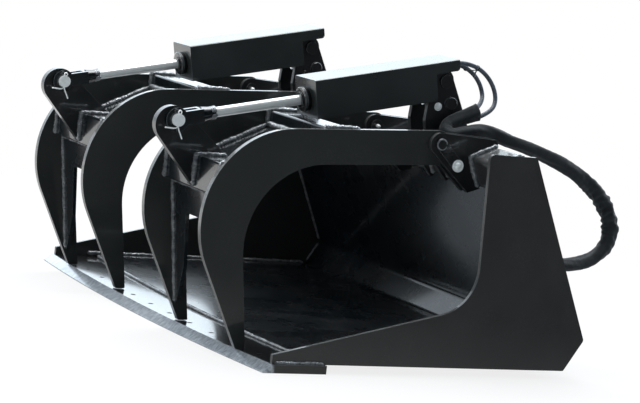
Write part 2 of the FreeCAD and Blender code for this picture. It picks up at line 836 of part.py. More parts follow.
def lug(x):
    """The rod lug: a round head leaning forward and a foot wrapped round the front tube.
    Its slot follows the rod pin, so that it clears the pin over the whole opening."""
    head = (rod_pin_y - lug_head_back, rod_pin_z - lug_head_drop)
    low = (front_tube_y, front_tube_top - lug_tip_drop)
    rear = (front_tube_y + tube_size, front_tube_top)
    corners = [low, tangent(head, lug_head, low, -1), head, tangent(head, lug_head, rear, 1), rear,
               (front_tube_y, front_tube_top)]
    foot = centred_plate(corners, x, lug_thick)
    body = foot.fuse(bar_x(lug_head, x - lug_thick / 2.0, x + lug_thick / 2.0, *head)).removeSplitter()
    path = [pin_in_lug(open_angle * i / lug_slot_steps) for i in range(lug_slot_steps + 1)]
    for p, q in zip(path, path[1:]):
        body = body.cut(round_ended(x - lug_thick, 2 * lug_thick, pin_dia / 2.0 + lug_slot_gap, p, q))
    return body


def seat(shape, x):
    """Put a shape drawn with the cylinder's axis along Y, rod pin at the origin, in its place."""
    shape.rotate(V(0, 0, 0), V(1, 0, 0), cylinder_tilt)
    shape.translate(V(x, rod_pin_y, rod_pin_z))
    return shape


def round_y(radius, start, end, x=0.0, z=0.0):
    """A round bar along the cylinder's axis."""
    return Part.makeCylinder(radius, end - start, V(x, start, z), V(0, 1, 0))


def barrel(x):
    """The barrel tube, its base cap and the eye on the base pin."""
    outer = barrel_dia / 2.0
    tube = round_y(outer, barrel_start, barrel_end)
    cap = round_y(outer, barrel_end, barrel_end + cap_length)
    eye = bar_x(eye_radius, -eye_width / 2.0, eye_width / 2.0, cylinder_length, 0)
    root = Part.makeBox(eye_width, cylinder_length - barrel_end - cap_length, 2 * (eye_radius - eye_flat),
                        V(-eye_width / 2.0, barrel_end + cap_length, eye_flat - eye_radius))
    body = tube.fuse([cap, eye, root]).removeSplitter()
    body = body.cut(round_y(bore_dia / 2.0, barrel_start - 1, barrel_end))
    body = body.cut(bar_x(pin_dia / 2.0 + run_gap, -eye_width, eye_width, cylinder_length, 0))
    for along, offset in ((port_along, line_offset), (front_port_along, -line_offset)):
        boss = Part.makeCylinder(port_dia / 2.0, outer + port_lift, V(offset, along, 0), V(0, 0, 1))
        port = Part.makeCylinder(port_bore / 2.0, outer + port_lift + 1, V(offset, along, 0), V(0, 0, 1))
        body = body.fuse(boss.cut(round_y(bore_dia / 2.0, barrel_start, barrel_end))).cut(port)
    return seat(body.removeSplitter(), x)


def gland(x):
    """The screwed gland: a collar in front of the guard, a wiper ring and a spigot in the bore."""
    outer = barrel_dia / 2.0
    collar = round_y(outer, gland_start + gland_step, barrel_start)
    front = round_y(outer - gland_step, gland_start, gland_start + gland_step)
    spigot = round_y(bore_dia / 2.0, barrel_start, barrel_start + gland_inside)
    wiper = round_y(wiper_dia / 2.0, gland_start - wiper_length, gland_start)
    body = collar.fuse([front, spigot, wiper]).removeSplitter()
    bore = round_y(rod_dia / 2.0 + run_gap, gland_start - 2 * wiper_length, barrel_start + 2 * gland_inside)
    return seat(body.cut(bore), x)


def guard(x):
    """A folded cover over the cylinder: top, two sides, front plate and a lip over the base pin."""
    low, high = -guard_width / 2.0, guard_width / 2.0
    corners = [(guard_start, -guard_below), (guard_start, guard_above), (guard_end, guard_above),
               (guard_end, guard_lip, guard_lip_corner), (guard_side_end, guard_lip),
               (guard_side_end, -guard_below, guard_corner)]
    shell = plate(corners, low, guard_width)
    edges = [e for e in shell.Edges if abs(e.BoundBox.ZMin - guard_above) < 1e-3
             and abs(abs(e.BoundBox.XMin) - guard_width / 2.0) < 1e-3 and e.BoundBox.XLength < 1e-3]
    shell = shell.makeFillet(guard_wall, edges)
    hollow = Part.makeBox(guard_width - 2 * guard_wall, guard_end, guard_above + guard_below,
                          V(low + guard_wall, guard_start + guard_wall, -guard_below - guard_wall))
    shell = shell.cut(hollow)
    shell = shell.cut(round_y(barrel_dia / 2.0 + run_gap, guard_start - guard_wall, guard_start + 2 * guard_wall))
    return seat(shell, x)


def saddles(x):
    """Pads welded on the barrel that carry the guard's top."""
    pads = []
    for start in saddle_starts:
        pad = Part.makeBox(saddle_width, saddle_length, guard_above - guard_wall,
                           V(saddle_shift - saddle_width / 2.0, start, 0))
        pads.append(seat(pad.cut(round_y(barrel_dia / 2.0, barrel_start, barrel_end)), x))
    return pads


def elbow(along, offset):
    """The square body of a port elbow, standing on its boss."""
    return Part.makeBox(elbow_size, elbow_length, elbow_size,
                        V(offset - elbow_size / 2.0, along - elbow_length / 2.0, barrel_dia / 2.0 + port_lift))


def port_lines(x):
    """Elbows on the two ports, and the steel line that brings the front port to the rear."""
    level = barrel_dia / 2.0 + port_lift + elbow_size / 2.0
    nut, tail, union = nut_dia / 2.0, hose_tail_dia / 2.0, union_dia / 2.0
    base = elbow(port_along, line_offset).fuse([
        round_y(nut, port_along, port_along + nut_length, line_offset, level),
        round_y(tail, port_along, line_end, line_offset, level),
        round_y(nut, line_end - union_length / 2.0, line_end, line_offset, level)])
    front = elbow(front_port_along, -line_offset).fuse([
        round_y(nut, front_port_along, front_port_along + nut_length, -line_offset, level),
        round_y(line_dia / 2.0, front_port_along, line_end, -line_offset, level),
        round_y(union, line_end - union_length, line_end, -line_offset, level)])
    return [seat(piece.removeSplitter(), x) for piece in (base, front)]


def rod(x):
    """The chromed rod with its piston."""
    return seat(round_y(rod_dia / 2.0, neck_end - rod_socket, piston_start), x)


def piston(x):
    body = round_y(bore_dia / 2.0 - run_gap, piston_start, piston_start + piston_length)
    for i in range(2):
        start = piston_start + groove_first + i * groove_pitch
        ring = round_y(bore_dia / 2.0 + 1, start, start + groove_width)
        body = body.cut(ring.cut(round_y(bore_dia / 2.0 - groove_depth, start, start + groove_width)))
    end = piston_start + piston_length
    nut = round_y(piston_nut_dia / 2.0, end, end + piston_nut_length)
    return seat(body.fuse(nut), x)


def fork(x):
    """The rod end: two eyed cheeks either side of the lug, a solid shoulder and a tapered neck."""
    inner = lug_thick / 2.0 + fork_gap
    outer = inner + fork_cheek
    eye = bar_x(fork_eye, -outer, outer, 0, 0)
    strap = Part.makeBox(2 * outer, fork_length, fork_height, V(-outer, 0, -fork_height / 2.0))
    neck = Part.makeCone(neck_base_dia / 2.0, neck_dia / 2.0, neck_end - fork_length,
                         V(0, fork_length, 0), V(0, 1, 0))
    body = eye.fuse([strap, neck]).removeSplitter()
    gap = Part.makeBox(2 * inner, fork_slot + fork_eye + 1, 2 * fork_eye + 2,
                       V(-inner, -fork_eye - 1, -fork_eye - 1))
    body = body.cut(gap).cut(bar_x(pin_dia / 2.0, -outer - 1, outer + 1, 0, 0))
    body = body.cut(round_y(rod_dia / 2.0, neck_end - rod_socket, neck_end + rod_socket))
    return seat(body, x)


def rod_pin(x):
    """The rod pin, headed on the right and held by a split pin on the left."""
    outer = lug_thick / 2.0 + fork_gap + fork_cheek
    pin = bar_x(pin_dia / 2.0, -outer, outer + rod_pin_proud, 0, 0)
    head = bar_x(pin_dia / 2.0 + rod_pin_head, -outer - rod_pin_head_thick, -outer, 0, 0)
    body = pin.fuse(head).removeSplitter()
    hole = Part.makeCylinder(split_hole_dia / 2.0, 2 * pin_dia, V(outer + rod_pin_proud - split_back, 0, -pin_dia),
                             V(0, 0, 1))
    return seat(body.cut(hole), x)


def split_pin(x):
    """The split pin: an eye above the rod pin, one leg bent forward below it and one left down."""
    place = lug_thick / 2.0 + fork_gap + fork_cheek + rod_pin_proud - split_back
    radius, wire = pin_dia / 2.0, split_hole_dia / 2.0 - 4 * run_gap
    shank = Part.makeCylinder(wire, pin_dia + 2 * wire, V(place, 0, -radius - wire), V(0, 0, 1))
    eye = Part.makeTorus(2 * wire, 0.8 * wire, V(place, 0, radius + 3 * wire), V(1, 0, 0))
    legs = [Part.makeCylinder(0.75 * wire, length, V(place, 0, -radius - wire), V(0, way, -1))
            for way, length in ((-2.4, 30.0), (0.25, 34.0))]
    return seat(shank.fuse([eye] + legs).removeSplitter(), x)


def build():
    write("cutting_edge", cutting_edge())
    write("bowl_sheet", bowl_sheet())
    write("side_plate_left", side_plate(side_inner))
    write("side_plate_right", side_plate(-side_outer))
    write("top_beam", top_beam())
    write("wear_bars", *wear_bars())
    write("attach_plate", attach_plate())
    write("attach_ribs", *attach_ribs())
    write("coupler_holder", coupler_holder())
    write("couplers", *couplers())
    for name, dia, points in (("hose_sleeve", sleeve_dia, sleeve_points),
                              ("hose_outer", hose_dia, outer_hose_points),
                              ("hose_inner", hose_dia, inner_hose_points)):
        write(name, tube_along([left_base + point for point in points], dia / 2.0, name))
    for side, x in (("left", grapple_x), ("right", -grapple_x)):
        ears, pins, bolts = hinge_parts(x)
        if side == "left":
            bolts.append(keeper_bolt(tower_faces(x)[1], *base_keeper, small_washer_dia))
        write("hinge_ears_" + side, *ears)
        write("hinge_pins_" + side, *pins)
        write("keeper_bolts_" + side, *bolts)
        write("tower_" + side, *tower(x), spacer(x))
        write("base_pin_" + side, base_pin(x))
        low_tine, high_tine = tine_places(x)
        write("tine_right_" + side, tine(low_tine))
        write("tine_left_" + side, tine(high_tine))
        hubs = [hub_and_bushes(place) for place in (low_tine, high_tine)]
        write("hinge_hubs_" + side, *[hub for hub, bushes in hubs])
        write("hinge_bushes_" + side, *[bush for hub, bushes in hubs for bush in bushes])
        low, high = inside_faces(x)
        write("front_tube_" + side, square_tube(low, high, front_tube_y, front_tube_top, tube_size, tube_wall))
        write("rear_tube_" + side, square_tube(low, high, rear_tube_y, rear_tube_top, tube_size, tube_wall))
        write("cover_plate_" + side, cover_plate(x))
        write("claw_plate_" + side, claw_plate(x))
        write("rod_lug_" + side, lug(x))
        write("barrel_" + side, barrel(x), *saddles(x))
        write("gland_" + side, gland(x))
        write("guard_" + side, guard(x))
        write("port_lines_" + side, *port_lines(x))
        write("rod_" + side, rod(x))
        write("piston_" + side, piston(x))
        write("rod_fork_" + side, fork(x))
        write("rod_pin_" + side, rod_pin(x))
        write("split_pin_" + side, split_pin(x))


build()
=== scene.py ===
# %% [markdown]
# # A hydraulic grapple bucket
# The bucket is a welded steel box with a wide mouth. Two grapples, each a pair of curved tines, close
# over the mouth and are worked by guarded hydraulic cylinders. The solids of every plate, tube and pin
# come ready made as a frame. This lesson gives them their finishes and adds what solids can't hold:
# weld beads, split pins, hoses, a fabric sleeve, a cable tie and the light of a studio.

# %% The frame and a few tools
import json
import math
import bmesh
import bpy
import numpy as np
from mathutils import Matrix, Vector


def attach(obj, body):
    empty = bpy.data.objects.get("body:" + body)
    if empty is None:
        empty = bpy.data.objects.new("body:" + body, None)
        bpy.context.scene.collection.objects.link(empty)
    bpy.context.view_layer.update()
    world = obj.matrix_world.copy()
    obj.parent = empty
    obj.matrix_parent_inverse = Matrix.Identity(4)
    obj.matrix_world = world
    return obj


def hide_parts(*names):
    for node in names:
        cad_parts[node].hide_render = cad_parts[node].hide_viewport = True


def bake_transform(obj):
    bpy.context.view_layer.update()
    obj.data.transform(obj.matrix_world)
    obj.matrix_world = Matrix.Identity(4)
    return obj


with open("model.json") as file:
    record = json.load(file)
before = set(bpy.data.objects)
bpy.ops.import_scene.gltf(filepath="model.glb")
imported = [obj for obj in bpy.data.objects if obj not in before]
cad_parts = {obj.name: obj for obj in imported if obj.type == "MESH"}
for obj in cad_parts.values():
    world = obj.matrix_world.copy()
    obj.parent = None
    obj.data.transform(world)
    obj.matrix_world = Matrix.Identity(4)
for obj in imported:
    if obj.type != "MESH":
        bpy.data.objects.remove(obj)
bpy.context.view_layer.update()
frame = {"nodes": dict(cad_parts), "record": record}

# %% [markdown]
# ## Meshes from arrays
# Each new piece is a surface over a grid of two numbers: how far along it a ring of points lies, and
# where a point sits on that ring. Numpy works out all points at once, and the same few lines turn any
# such grid into a closed mesh. That keeps every piece exact, and cheap to make by the hundred.


# %% From grid to mesh
def ring_faces(rings, sides, first=0):
    """Quads between neighbouring rings and a fan to a pole at each end.
    Point j of ring i has the index first + i * sides + j. The poles follow the last ring."""
    i = np.arange(rings - 1)[:, None]
    j = np.arange(sides)[None, :]
    k = (j + 1) % sides
    quads = np.stack([i * sides + j, i * sides + k, (i + 1) * sides + k, (i + 1) * sides + j], -1)
    j, k = j[0], k[0]
    start, end = rings * sides, rings * sides + 1
    last = (rings - 1) * sides
    fans = np.concatenate([np.stack([k, j, 0 * j + start], -1),
                           np.stack([last + j, last + k, 0 * j + end], -1)])
    return (quads.reshape(-1, 4) + first).tolist() + (fans + first).tolist()


def add_mesh(name, points, faces):
    """Points and faces become a smooth object at the origin, with its normals turned outwards."""
    mesh = bpy.data.meshes.new(name)
    mesh.from_pydata(np.asarray(points).tolist(), [], faces)
    shell = bmesh.new()
    shell.from_mesh(mesh)
    bmesh.ops.recalc_face_normals(shell, faces=shell.faces)
    shell.to_mesh(mesh)
    shell.free()
    mesh.polygons.foreach_set("use_smooth", [True] * len(mesh.polygons))
    piece = bpy.data.objects.new(name, mesh)
    bpy.context.scene.collection.objects.link(piece)
    return piece


def unit(v):
    """v divided by its length, along the last axis."""
    v = np.asarray(v, float)
    return v / np.linalg.norm(v, axis=-1, keepdims=True)


def even_path(corners, step):
    """Points every step metres, or a little less, along the polyline through the corners."""
    corners = np.asarray(corners, float)
    lengths = np.linalg.norm(np.diff(corners, axis=0), axis=1)
    along = np.concatenate([[0], np.cumsum(lengths)])
    s = np.linspace(0, along[-1], max(4, int(math.ceil(along[-1] / step)) + 1))
    return np.stack([np.interp(s, along, corners[:, k]) for k in range(3)], -1), s


def tube_grid(path, s, radius, side_way, sides=10):
    """Ring point = path(s) + radius(s, t) * (cos t * n + sin t * b). n lies close to side_way and
    square to the path, b is square to both. radius is an array of rings by sides."""
    tangent = unit(np.gradient(path, axis=0))
    side = np.broadcast_to(np.asarray(side_way, float), path.shape)
    b = unit(np.cross(tangent, side))
    n = np.cross(b, tangent)
    t = np.linspace(0, 2 * math.pi, sides, endpoint=False)
    ring = np.cos(t)[None, :, None] * n[:, None, :] + np.sin(t)[None, :, None] * b[:, None, :]
    points = path[:, None, :] + radius[:, :, None] * ring
    return np.concatenate([points.reshape(-1, 3), path[:1], path[-1:]])


# %% [markdown]
# ## Finishes
# Nearly all of the bucket is powder coated in black. Such a coat is smooth but faintly rippled, thins
# out and shines where plates have sharp edges, and gathers dust. One node group works out those
# effects, and every painted finish feeds them into its own colour and roughness. Round edges are
# drawn by the shader, because the plates of the frame keep their own sharp meshes.


# %% Node helpers
def link(tree, a, b):
    """The output a feeds the input b."""
    tree.links.new(a, b)


def add_node(tree, kind, **values):
    """A new node. Each value goes to the input of that name, or else to the node's own setting."""
    node = tree.nodes.new(kind)
    for key, value in values.items():
        if key in node.inputs:
            node.inputs[key].default_value = value
        else:
            setattr(node, key, value)
    return node


def noise(tree, vector, scale, detail=4.0, roughness=0.55):
    """Cloudy noise from 0 to 1 with about scale blobs to the metre."""
    node = add_node(tree, "ShaderNodeTexNoise", Scale=scale, Detail=detail, Roughness=roughness)
    link(tree, vector, node.inputs["Vector"])
    return node.outputs["Fac"]


def remap(tree, value, low, high, new_low=0.0, new_high=1.0):
    """new_low + (value - low) / (high - low) * (new_high - new_low), held between the two ends."""
    node = add_node(tree, "ShaderNodeMapRange", clamp=True)
    for place, number in enumerate((low, high, new_low, new_high), 1):
        node.inputs[place].default_value = number
    link(tree, value, node.inputs[0])
    return node.outputs[0]


def maths(tree, operation, a, b=0.0, c=0.0):
    """operation(a, b, c), where each is a number or another node's output."""
    node = add_node(tree, "ShaderNodeMath", operation=operation, use_clamp=False)
    for place, value in enumerate((a, b, c)):
        if isinstance(value, (int, float)):
            node.inputs[place].default_value = value
        else:
            link(tree, value, node.inputs[place])
    return node.outputs[0]


def blend_colour(tree, factor, a, b):
    """a * (1 - factor) + b * factor, where each is a colour or another node's output."""
    node = add_node(tree, "ShaderNodeMix", data_type="RGBA")
    link(tree, factor, node.inputs[0])
    for place, value in ((6, a), (7, b)):
        if isinstance(value, tuple):
            node.inputs[place].default_value = (*value, 1.0)
        else:
            link(tree, value, node.inputs[place])
    return node.outputs[2]


def new_group(name, outputs, inputs=()):
    """An empty node group, and its input and output nodes."""
    tree = bpy.data.node_groups.new(name, "ShaderNodeTree")
    for label, kind, value in inputs:
        socket = tree.interface.new_socket(label, in_out="INPUT", socket_type=kind)
        socket.default_value = value
    for label, kind in outputs:
        tree.interface.new_socket(label, in_out="OUTPUT", socket_type=kind)
    return tree, tree.nodes.new("NodeGroupInput"), tree.nodes.new("NodeGroupOutput")


def new_material(name, **values):
    """A Principled material. Numbers and colours that are the same all over sit on its own sockets."""
    material = bpy.data.materials.new(name)
    material.use_nodes = True
    tree = material.node_tree
    shader = tree.nodes["Principled BSDF"]
    for key, value in values.items():
        shader.inputs[key.replace("_", " ")].default_value = value
    return material, tree, shader


def use_group(tree, group, **values):
    """The group as a node, with its own value for each named input."""
    node = tree.nodes.new("ShaderNodeGroup")
    node.node_tree = group
    for key, value in values.items():
        node.inputs[key.replace("_", " ")].default_value = value
    return node


# %% [markdown]
# ### What all coats share
# The group gives five results. Normal is rounded over sharp edges, with a faint orange peel. Edge is
# high where the rounded normal leaves the true one, on sides that face up or forward towards the
# lamps: partly coat worn thin, partly a painted highlight. Cloud is a slow change from place to place.
# Dust is fine specks on faces that look up.
# Rim marks the rims left by cutting upright plates, whose faces look neither left nor right, with drag
# lines, more where they face up: a painted highlight.

# %% The coat's shared effects
coat, coat_in, coat_out = new_group(
    "coat surface",
    [("Edge", "NodeSocketFloat"), ("Cloud", "NodeSocketFloat"), ("Dust", "NodeSocketFloat"),
     ("Rim", "NodeSocketFloat"), ("Normal", "NodeSocketVector")],
    [("Edge Radius", "NodeSocketFloat", 0.0016), ("Ripple", "NodeSocketFloat", 0.12)])
place = add_node(coat, "ShaderNodeTexCoord").outputs["Object"]
geometry = add_node(coat, "ShaderNodeNewGeometry")
rounder = add_node(coat, "ShaderNodeBevel", samples=6)
link(coat, coat_in.outputs["Edge Radius"], rounder.inputs["Radius"])
facing = add_node(coat, "ShaderNodeVectorMath", operation="DOT_PRODUCT")
link(coat, rounder.outputs["Normal"], facing.inputs[0])
link(coat, geometry.outputs["True Normal"], facing.inputs[1])
patchy = noise(coat, place, 42.0, 5.0)
outward = add_node(coat, "ShaderNodeSeparateXYZ")
link(coat, rounder.outputs["Normal"], outward.inputs[0])
# Edges count most where they face up or forward, towards the lamps: worn coat and painted highlight.
up_or_forward = maths(coat, "SUBTRACT", outward.outputs["Z"], outward.outputs["Y"])
facing_lamps = remap(coat, up_or_forward, -0.5, 0.3, 0.12, 1.0)
edge = maths(coat, "MULTIPLY", remap(coat, facing.outputs["Value"], 0.995, 0.86),
             remap(coat, patchy, 0.25, 0.6, 0.35, 1.0))
link(coat, maths(coat, "MULTIPLY", edge, facing_lamps), coat_out.inputs["Edge"])
link(coat, noise(coat, place, 5.5, 6.0, 0.6), coat_out.inputs["Cloud"])
upward = add_node(coat, "ShaderNodeSeparateXYZ")
link(coat, geometry.outputs["True Normal"], upward.inputs[0])
specks = maths(coat, "MULTIPLY", remap(coat, noise(coat, place, 160.0, 3.0), 0.5, 0.75),
               remap(coat, noise(coat, place, 9.0, 4.0), 0.4, 0.7))
link(coat, maths(coat, "MULTIPLY", specks, remap(coat, upward.outputs["Z"], -0.2, 0.8)),
     coat_out.inputs["Dust"])
# Rims of upright plates, stronger where they face up: a painted highlight.
sideways = maths(coat, "ABSOLUTE", upward.outputs["X"])
lit_rim = maths(coat, "MULTIPLY", remap(coat, sideways, 0.6, 0.3),
                remap(coat, upward.outputs["Z"], -0.2, 0.6, 0.3, 1.0))
drag = add_node(coat, "ShaderNodeMapping", Scale=(1.0, 7.0, 7.0))
link(coat, place, drag.inputs["Vector"])
link(coat, maths(coat, "MULTIPLY", lit_rim,
                 remap(coat, noise(coat, drag.outputs["Vector"], 22.0, 4.0), 0.3, 0.65, 0.45, 1.0)),
     coat_out.inputs["Rim"])
peel = noise(coat, place, 620.0, 2.0)
bump = add_node(coat, "ShaderNodeBump", Distance=0.0004)
link(coat, coat_in.outputs["Ripple"], bump.inputs["Strength"])
link(coat, peel, bump.inputs["Height"])
link(coat, rounder.outputs["Normal"], bump.inputs["Normal"])
link(coat, bump.outputs["Normal"], coat_out.inputs["Normal"])
print("shared coat effects", len(coat.nodes), "nodes")

# %% [markdown]
# ### One coat for each kind of plate
# The coat was sprayed on many parts with a different history: tines are bright on their rims, partly
# worn and mostly a painted highlight, the bowl is glossy and nearly blue black, guards are smooth, the
# pins are only blackened. Each finish takes the same function with its own colour, roughness, share of
# wear and share of painted highlight.

# %% Painted finishes
# The bright steel colour is a painted highlight on plate rims; the grey is real dust.
dust_grey, rim_highlight_colour = (0.32, 0.3, 0.27), (0.62, 0.62, 0.61)


def painted(name, colour, rough, edge_wear_and_highlight_colour, dust=0.25, ripple=0.12, radius=0.0016, rim=0.0, gloss=1.0,
            haze=0.07):
    """Colour moves towards edge_wear_and_highlight_colour on plate edges, for coat worn thin there and in
    part a painted highlight, and towards dust grey where dust lies. On the rims left by cutting it moves
    to a bright steel colour by the share rim, a painted highlight. Gloss is the weight of the clear top
    of the coat and haze its roughness. Roughness = rough + cloud * 0.12 - edge * 0.1.
    Metallic = rim mask * rim * 0.85."""
    material, tree, shader = new_material(name, IOR=1.55, Coat_Weight=gloss, Coat_Roughness=haze)
    surface = use_group(tree, coat, Ripple=ripple, Edge_Radius=radius)
    cloud = remap(tree, surface.outputs["Cloud"], 0.3, 0.7)
    darker = tuple(c * 0.7 for c in colour)
    base = blend_colour(tree, cloud, darker, colour)
    dusty = maths(tree, "MULTIPLY", surface.outputs["Dust"], dust)
    base = blend_colour(tree, dusty, base, dust_grey)
    base = blend_colour(tree, surface.outputs["Edge"], base, edge_wear_and_highlight_colour)
    # Rims take a bright metallic steel colour: a painted highlight.
    rim_highlight_share = maths(tree, "MULTIPLY", surface.outputs["Rim"], rim)
    base = blend_colour(tree, rim_highlight_share, base, rim_highlight_colour)
    link(tree, base, shader.inputs["Base Color"])
    link(tree, maths(tree, "MULTIPLY", rim_highlight_share, 0.85), shader.inputs["Metallic"])
    wavy = maths(tree, "MULTIPLY_ADD", cloud, 0.12, rough)
    link(tree, maths(tree, "SUBTRACT", wavy, maths(tree, "MULTIPLY", surface.outputs["Edge"], 0.1)),
         shader.inputs["Roughness"])
    link(tree, surface.outputs["Normal"], shader.inputs["Normal"])
    return material


finishes = {
    "black_paint": painted("black powder coat", (0.009, 0.011, 0.0125), 0.3, (0.15, 0.155, 0.16), rim=0.14),
    # The side plates' coat is the black coat painted a shade greyer for the light they lie in: painted
    # light.
    "lit_side_paint": painted("side plate coat painted lighter", (0.027, 0.0275, 0.027), 0.34, (0.17, 0.175, 0.18), rim=0.14),
    "tine_paint": painted("tine coat", (0.0215, 0.0245, 0.0235), 0.3, (0.34, 0.35, 0.35), rim=0.34),
    "tube_paint": painted("tube coat", (0.004, 0.0075, 0.0105), 0.2, (0.12, 0.13, 0.14), radius=0.001),
    "bowl_paint": painted("bowl coat", (0.0006, 0.0042, 0.0075), 0.22, (0.2, 0.22, 0.24), dust=0.35,
                          radius=0.001, haze=0.1),
    "guard_paint": painted("guard coat", (0.0225, 0.0275, 0.028), 0.26, (0.12, 0.13, 0.135), dust=0.0,
                           ripple=0.05),
    "fork_paint": painted("fork coat", (0.006, 0.009, 0.011), 0.14, (0.25, 0.26, 0.27)),
    "worn_paint": painted("worn coat", (0.018, 0.02, 0.02), 0.45, (0.28, 0.28, 0.28), dust=0.1, gloss=0.5),
    "pin_steel": painted("blackened pins", (0.01, 0.0115, 0.0125), 0.24, (0.3, 0.31, 0.32)),
    "gland_steel": painted("gland black", (0.005, 0.006, 0.007), 0.12, (0.3, 0.31, 0.32), dust=0.0,
                           ripple=0.0),
    "line_steel": painted("line black", (0.02, 0.021, 0.022), 0.2, (0.3, 0.31, 0.32), dust=0.0,
                          ripple=0.03),
}
print("painted finishes", len(finishes))

# %% [markdown]
# ## Bare metals
# Chrome on the rods is nearly a mirror with fine grinding marks round it. Zinc on small hardware is
# pale, cool and softly blotched. Metals differ by roughness and by the marks of their making, so one
# function takes the size and direction of those marks.


# %% Metals
def metal(name, colour, rough, marks=(1.0, 1.0, 1.0), scale=900.0, depth=0.15, blotch=0.0, metallic=1.0,
          lacquer=0.0):
    """Roughness = rough + patch noise. Bump = fine noise stretched by marks, as grinding leaves it. A
    metallic value below one mixes in a matt layer of the colour: the grey haze of plated parts, and on
    the chrome and the welds a pale layer that is painted reflection. Lacquer is a clear top layer."""
    material, tree, shader = new_material(name, Metallic=metallic, Coat_Weight=lacquer, Coat_Roughness=0.12)
    place = add_node(tree, "ShaderNodeTexCoord").outputs["Object"]
    stretched = add_node(tree, "ShaderNodeMapping", Scale=marks)
    link(tree, place, stretched.inputs["Vector"])
    fine = noise(tree, stretched.outputs["Vector"], scale, 2.0)
    patch = noise(tree, place, 60.0, 4.0)
    darker = tuple(c * (1 - blotch) for c in colour)
    shade = blend_colour(tree, remap(tree, patch, 0.3, 0.7), colour, darker)
    link(tree, shade, shader.inputs["Base Color"])
    rougher = rough + 0.1 + blotch * 0.5
    link(tree, remap(tree, patch, 0.3, 0.75, rough, rougher), shader.inputs["Roughness"])
    bump = add_node(tree, "ShaderNodeBump", Strength=depth, Distance=0.0002)
    link(tree, fine, bump.inputs["Height"])
    link(tree, bump.outputs["Normal"], shader.inputs["Normal"])
    return material


# Half of the chrome is a white matt layer: a painted reflection of the bright room.
finishes["rod_chrome"] = metal("hard chrome", (0.98, 0.99, 0.98), 0.1, (1.0, 24.0, 1.0), 500.0, 0.03,
                               metallic=0.5)
finishes["zinc_plate"] = metal("zinc plate", (0.92, 0.94, 0.93), 0.3, blotch=0.1, metallic=0.3)
finishes["bush_steel"] = metal("turned steel", (0.5, 0.49, 0.47), 0.3, (30.0, 1.0, 1.0))
finishes["piston_iron"] = metal("turned iron", (0.3, 0.3, 0.3), 0.4, (1.0, 30.0, 1.0))
# The welds are black painted; this silvery grey metal is a painted highlight for the glints on them.
finishes["weld_bead"] = metal("weld bead painted silver", (0.42, 0.44, 0.46), 0.22, scale=420.0, depth=0.7, blotch=0.6,
                              metallic=0.7, lacquer=1.0)
print("finishes so far", len(finishes))

# %% [markdown]
# ## The cutting edge
# The cutting edge is coated too, but its ground bevel and worn front part show bare steel. Distance
# from the bowed front decides how much: the bow is part of a circle, so distance from that circle's
# centre is all that the mask needs.

# %% Cutting edge
edge_bow, half_width = 0.045, 0.9145
edge_radius = (half_width ** 2 + edge_bow ** 2) / (2 * edge_bow)
edge_centre = edge_radius - edge_bow


def edge_finish():
    """Bare = 1 within the bevel, where edge_radius - distance to the bow's centre is small, and falls
    to 0 over the next 8 mm with a ragged line. Bare steel mixes dark and bright with grinding marks."""
    material, tree, shader = new_material("cutting edge", IOR=1.55, Coat_Weight=1.0, Coat_Roughness=0.08)
    surface = use_group(tree, coat)
    place = add_node(tree, "ShaderNodeTexCoord").outputs["Object"]
    parts = add_node(tree, "ShaderNodeSeparateXYZ")
    link(tree, place, parts.inputs[0])
    y = maths(tree, "SUBTRACT", parts.outputs["Y"], edge_centre)
    squares = maths(tree, "ADD", maths(tree, "MULTIPLY", parts.outputs["X"], parts.outputs["X"]),
                    maths(tree, "MULTIPLY", y, y))
    inward = maths(tree, "SUBTRACT", edge_radius, maths(tree, "SQRT", squares))
    ragged = maths(tree, "MULTIPLY_ADD", noise(tree, place, 30.0, 6.0, 0.7), 0.016, inward)
    bare = remap(tree, ragged, 0.044, 0.036)
    streaks = add_node(tree, "ShaderNodeMapping", Scale=(5.0, 1.0, 1.0), Rotation=(0.0, 0.0, 0.5))
    link(tree, place, streaks.inputs["Vector"])
    grind = remap(tree, noise(tree, streaks.outputs["Vector"], 60.0, 4.0), 0.38, 0.62)
    steel = blend_colour(tree, grind, (0.27, 0.3, 0.34), (0.74, 0.78, 0.82))
    # Coated edges lighten most where they face up or forward: worn coat and painted highlight.
    coated = blend_colour(tree, surface.outputs["Edge"], (0.016, 0.016, 0.016), (0.3, 0.3, 0.3))
    link(tree, blend_colour(tree, bare, coated, steel), shader.inputs["Base Color"])
    link(tree, maths(tree, "MULTIPLY", bare, 0.55), shader.inputs["Metallic"])
    link(tree, remap(tree, bare, 0.0, 1.0, 0.2, 0.3), shader.inputs["Roughness"])
    link(tree, surface.outputs["Normal"], shader.inputs["Normal"])
    return material


finishes["edge_steel"] = edge_finish()
print("bow radius", round(edge_radius, 3))

# %% [markdown]
# ## Rubber and fabric
# The hoses have a matt rubber cover with the faint print of the wrapping cloth it was cured in. The
# sleeve is woven nylon, so its weave follows the tube: it reads the piece's own UV map, where u runs
# along the sleeve and v round it, both in metres.


# %% Soft finishes
threads = 2600.0


def rubber():
    """Colour and roughness rise with one slow noise. Bump = fine noise, as cloth leaves it."""
    material, tree, shader = new_material("hose rubber", Specular_IOR_Level=0.45)
    place = add_node(tree, "ShaderNodeTexCoord").outputs["Object"]
    haze = remap(tree, noise(tree, place, 35.0, 5.0), 0.3, 0.7)
    shade = blend_colour(tree, haze, (0.05, 0.06, 0.075), (0.085, 0.095, 0.115))
    link(tree, shade, shader.inputs["Base Color"])
    link(tree, remap(tree, haze, 0.0, 1.0, 0.3, 0.42), shader.inputs["Roughness"])
    bump = add_node(tree, "ShaderNodeBump", Strength=0.25, Distance=0.0003)
    link(tree, noise(tree, place, 1100.0, 2.0), bump.inputs["Height"])
    link(tree, bump.outputs["Normal"], shader.inputs["Normal"])
    return material


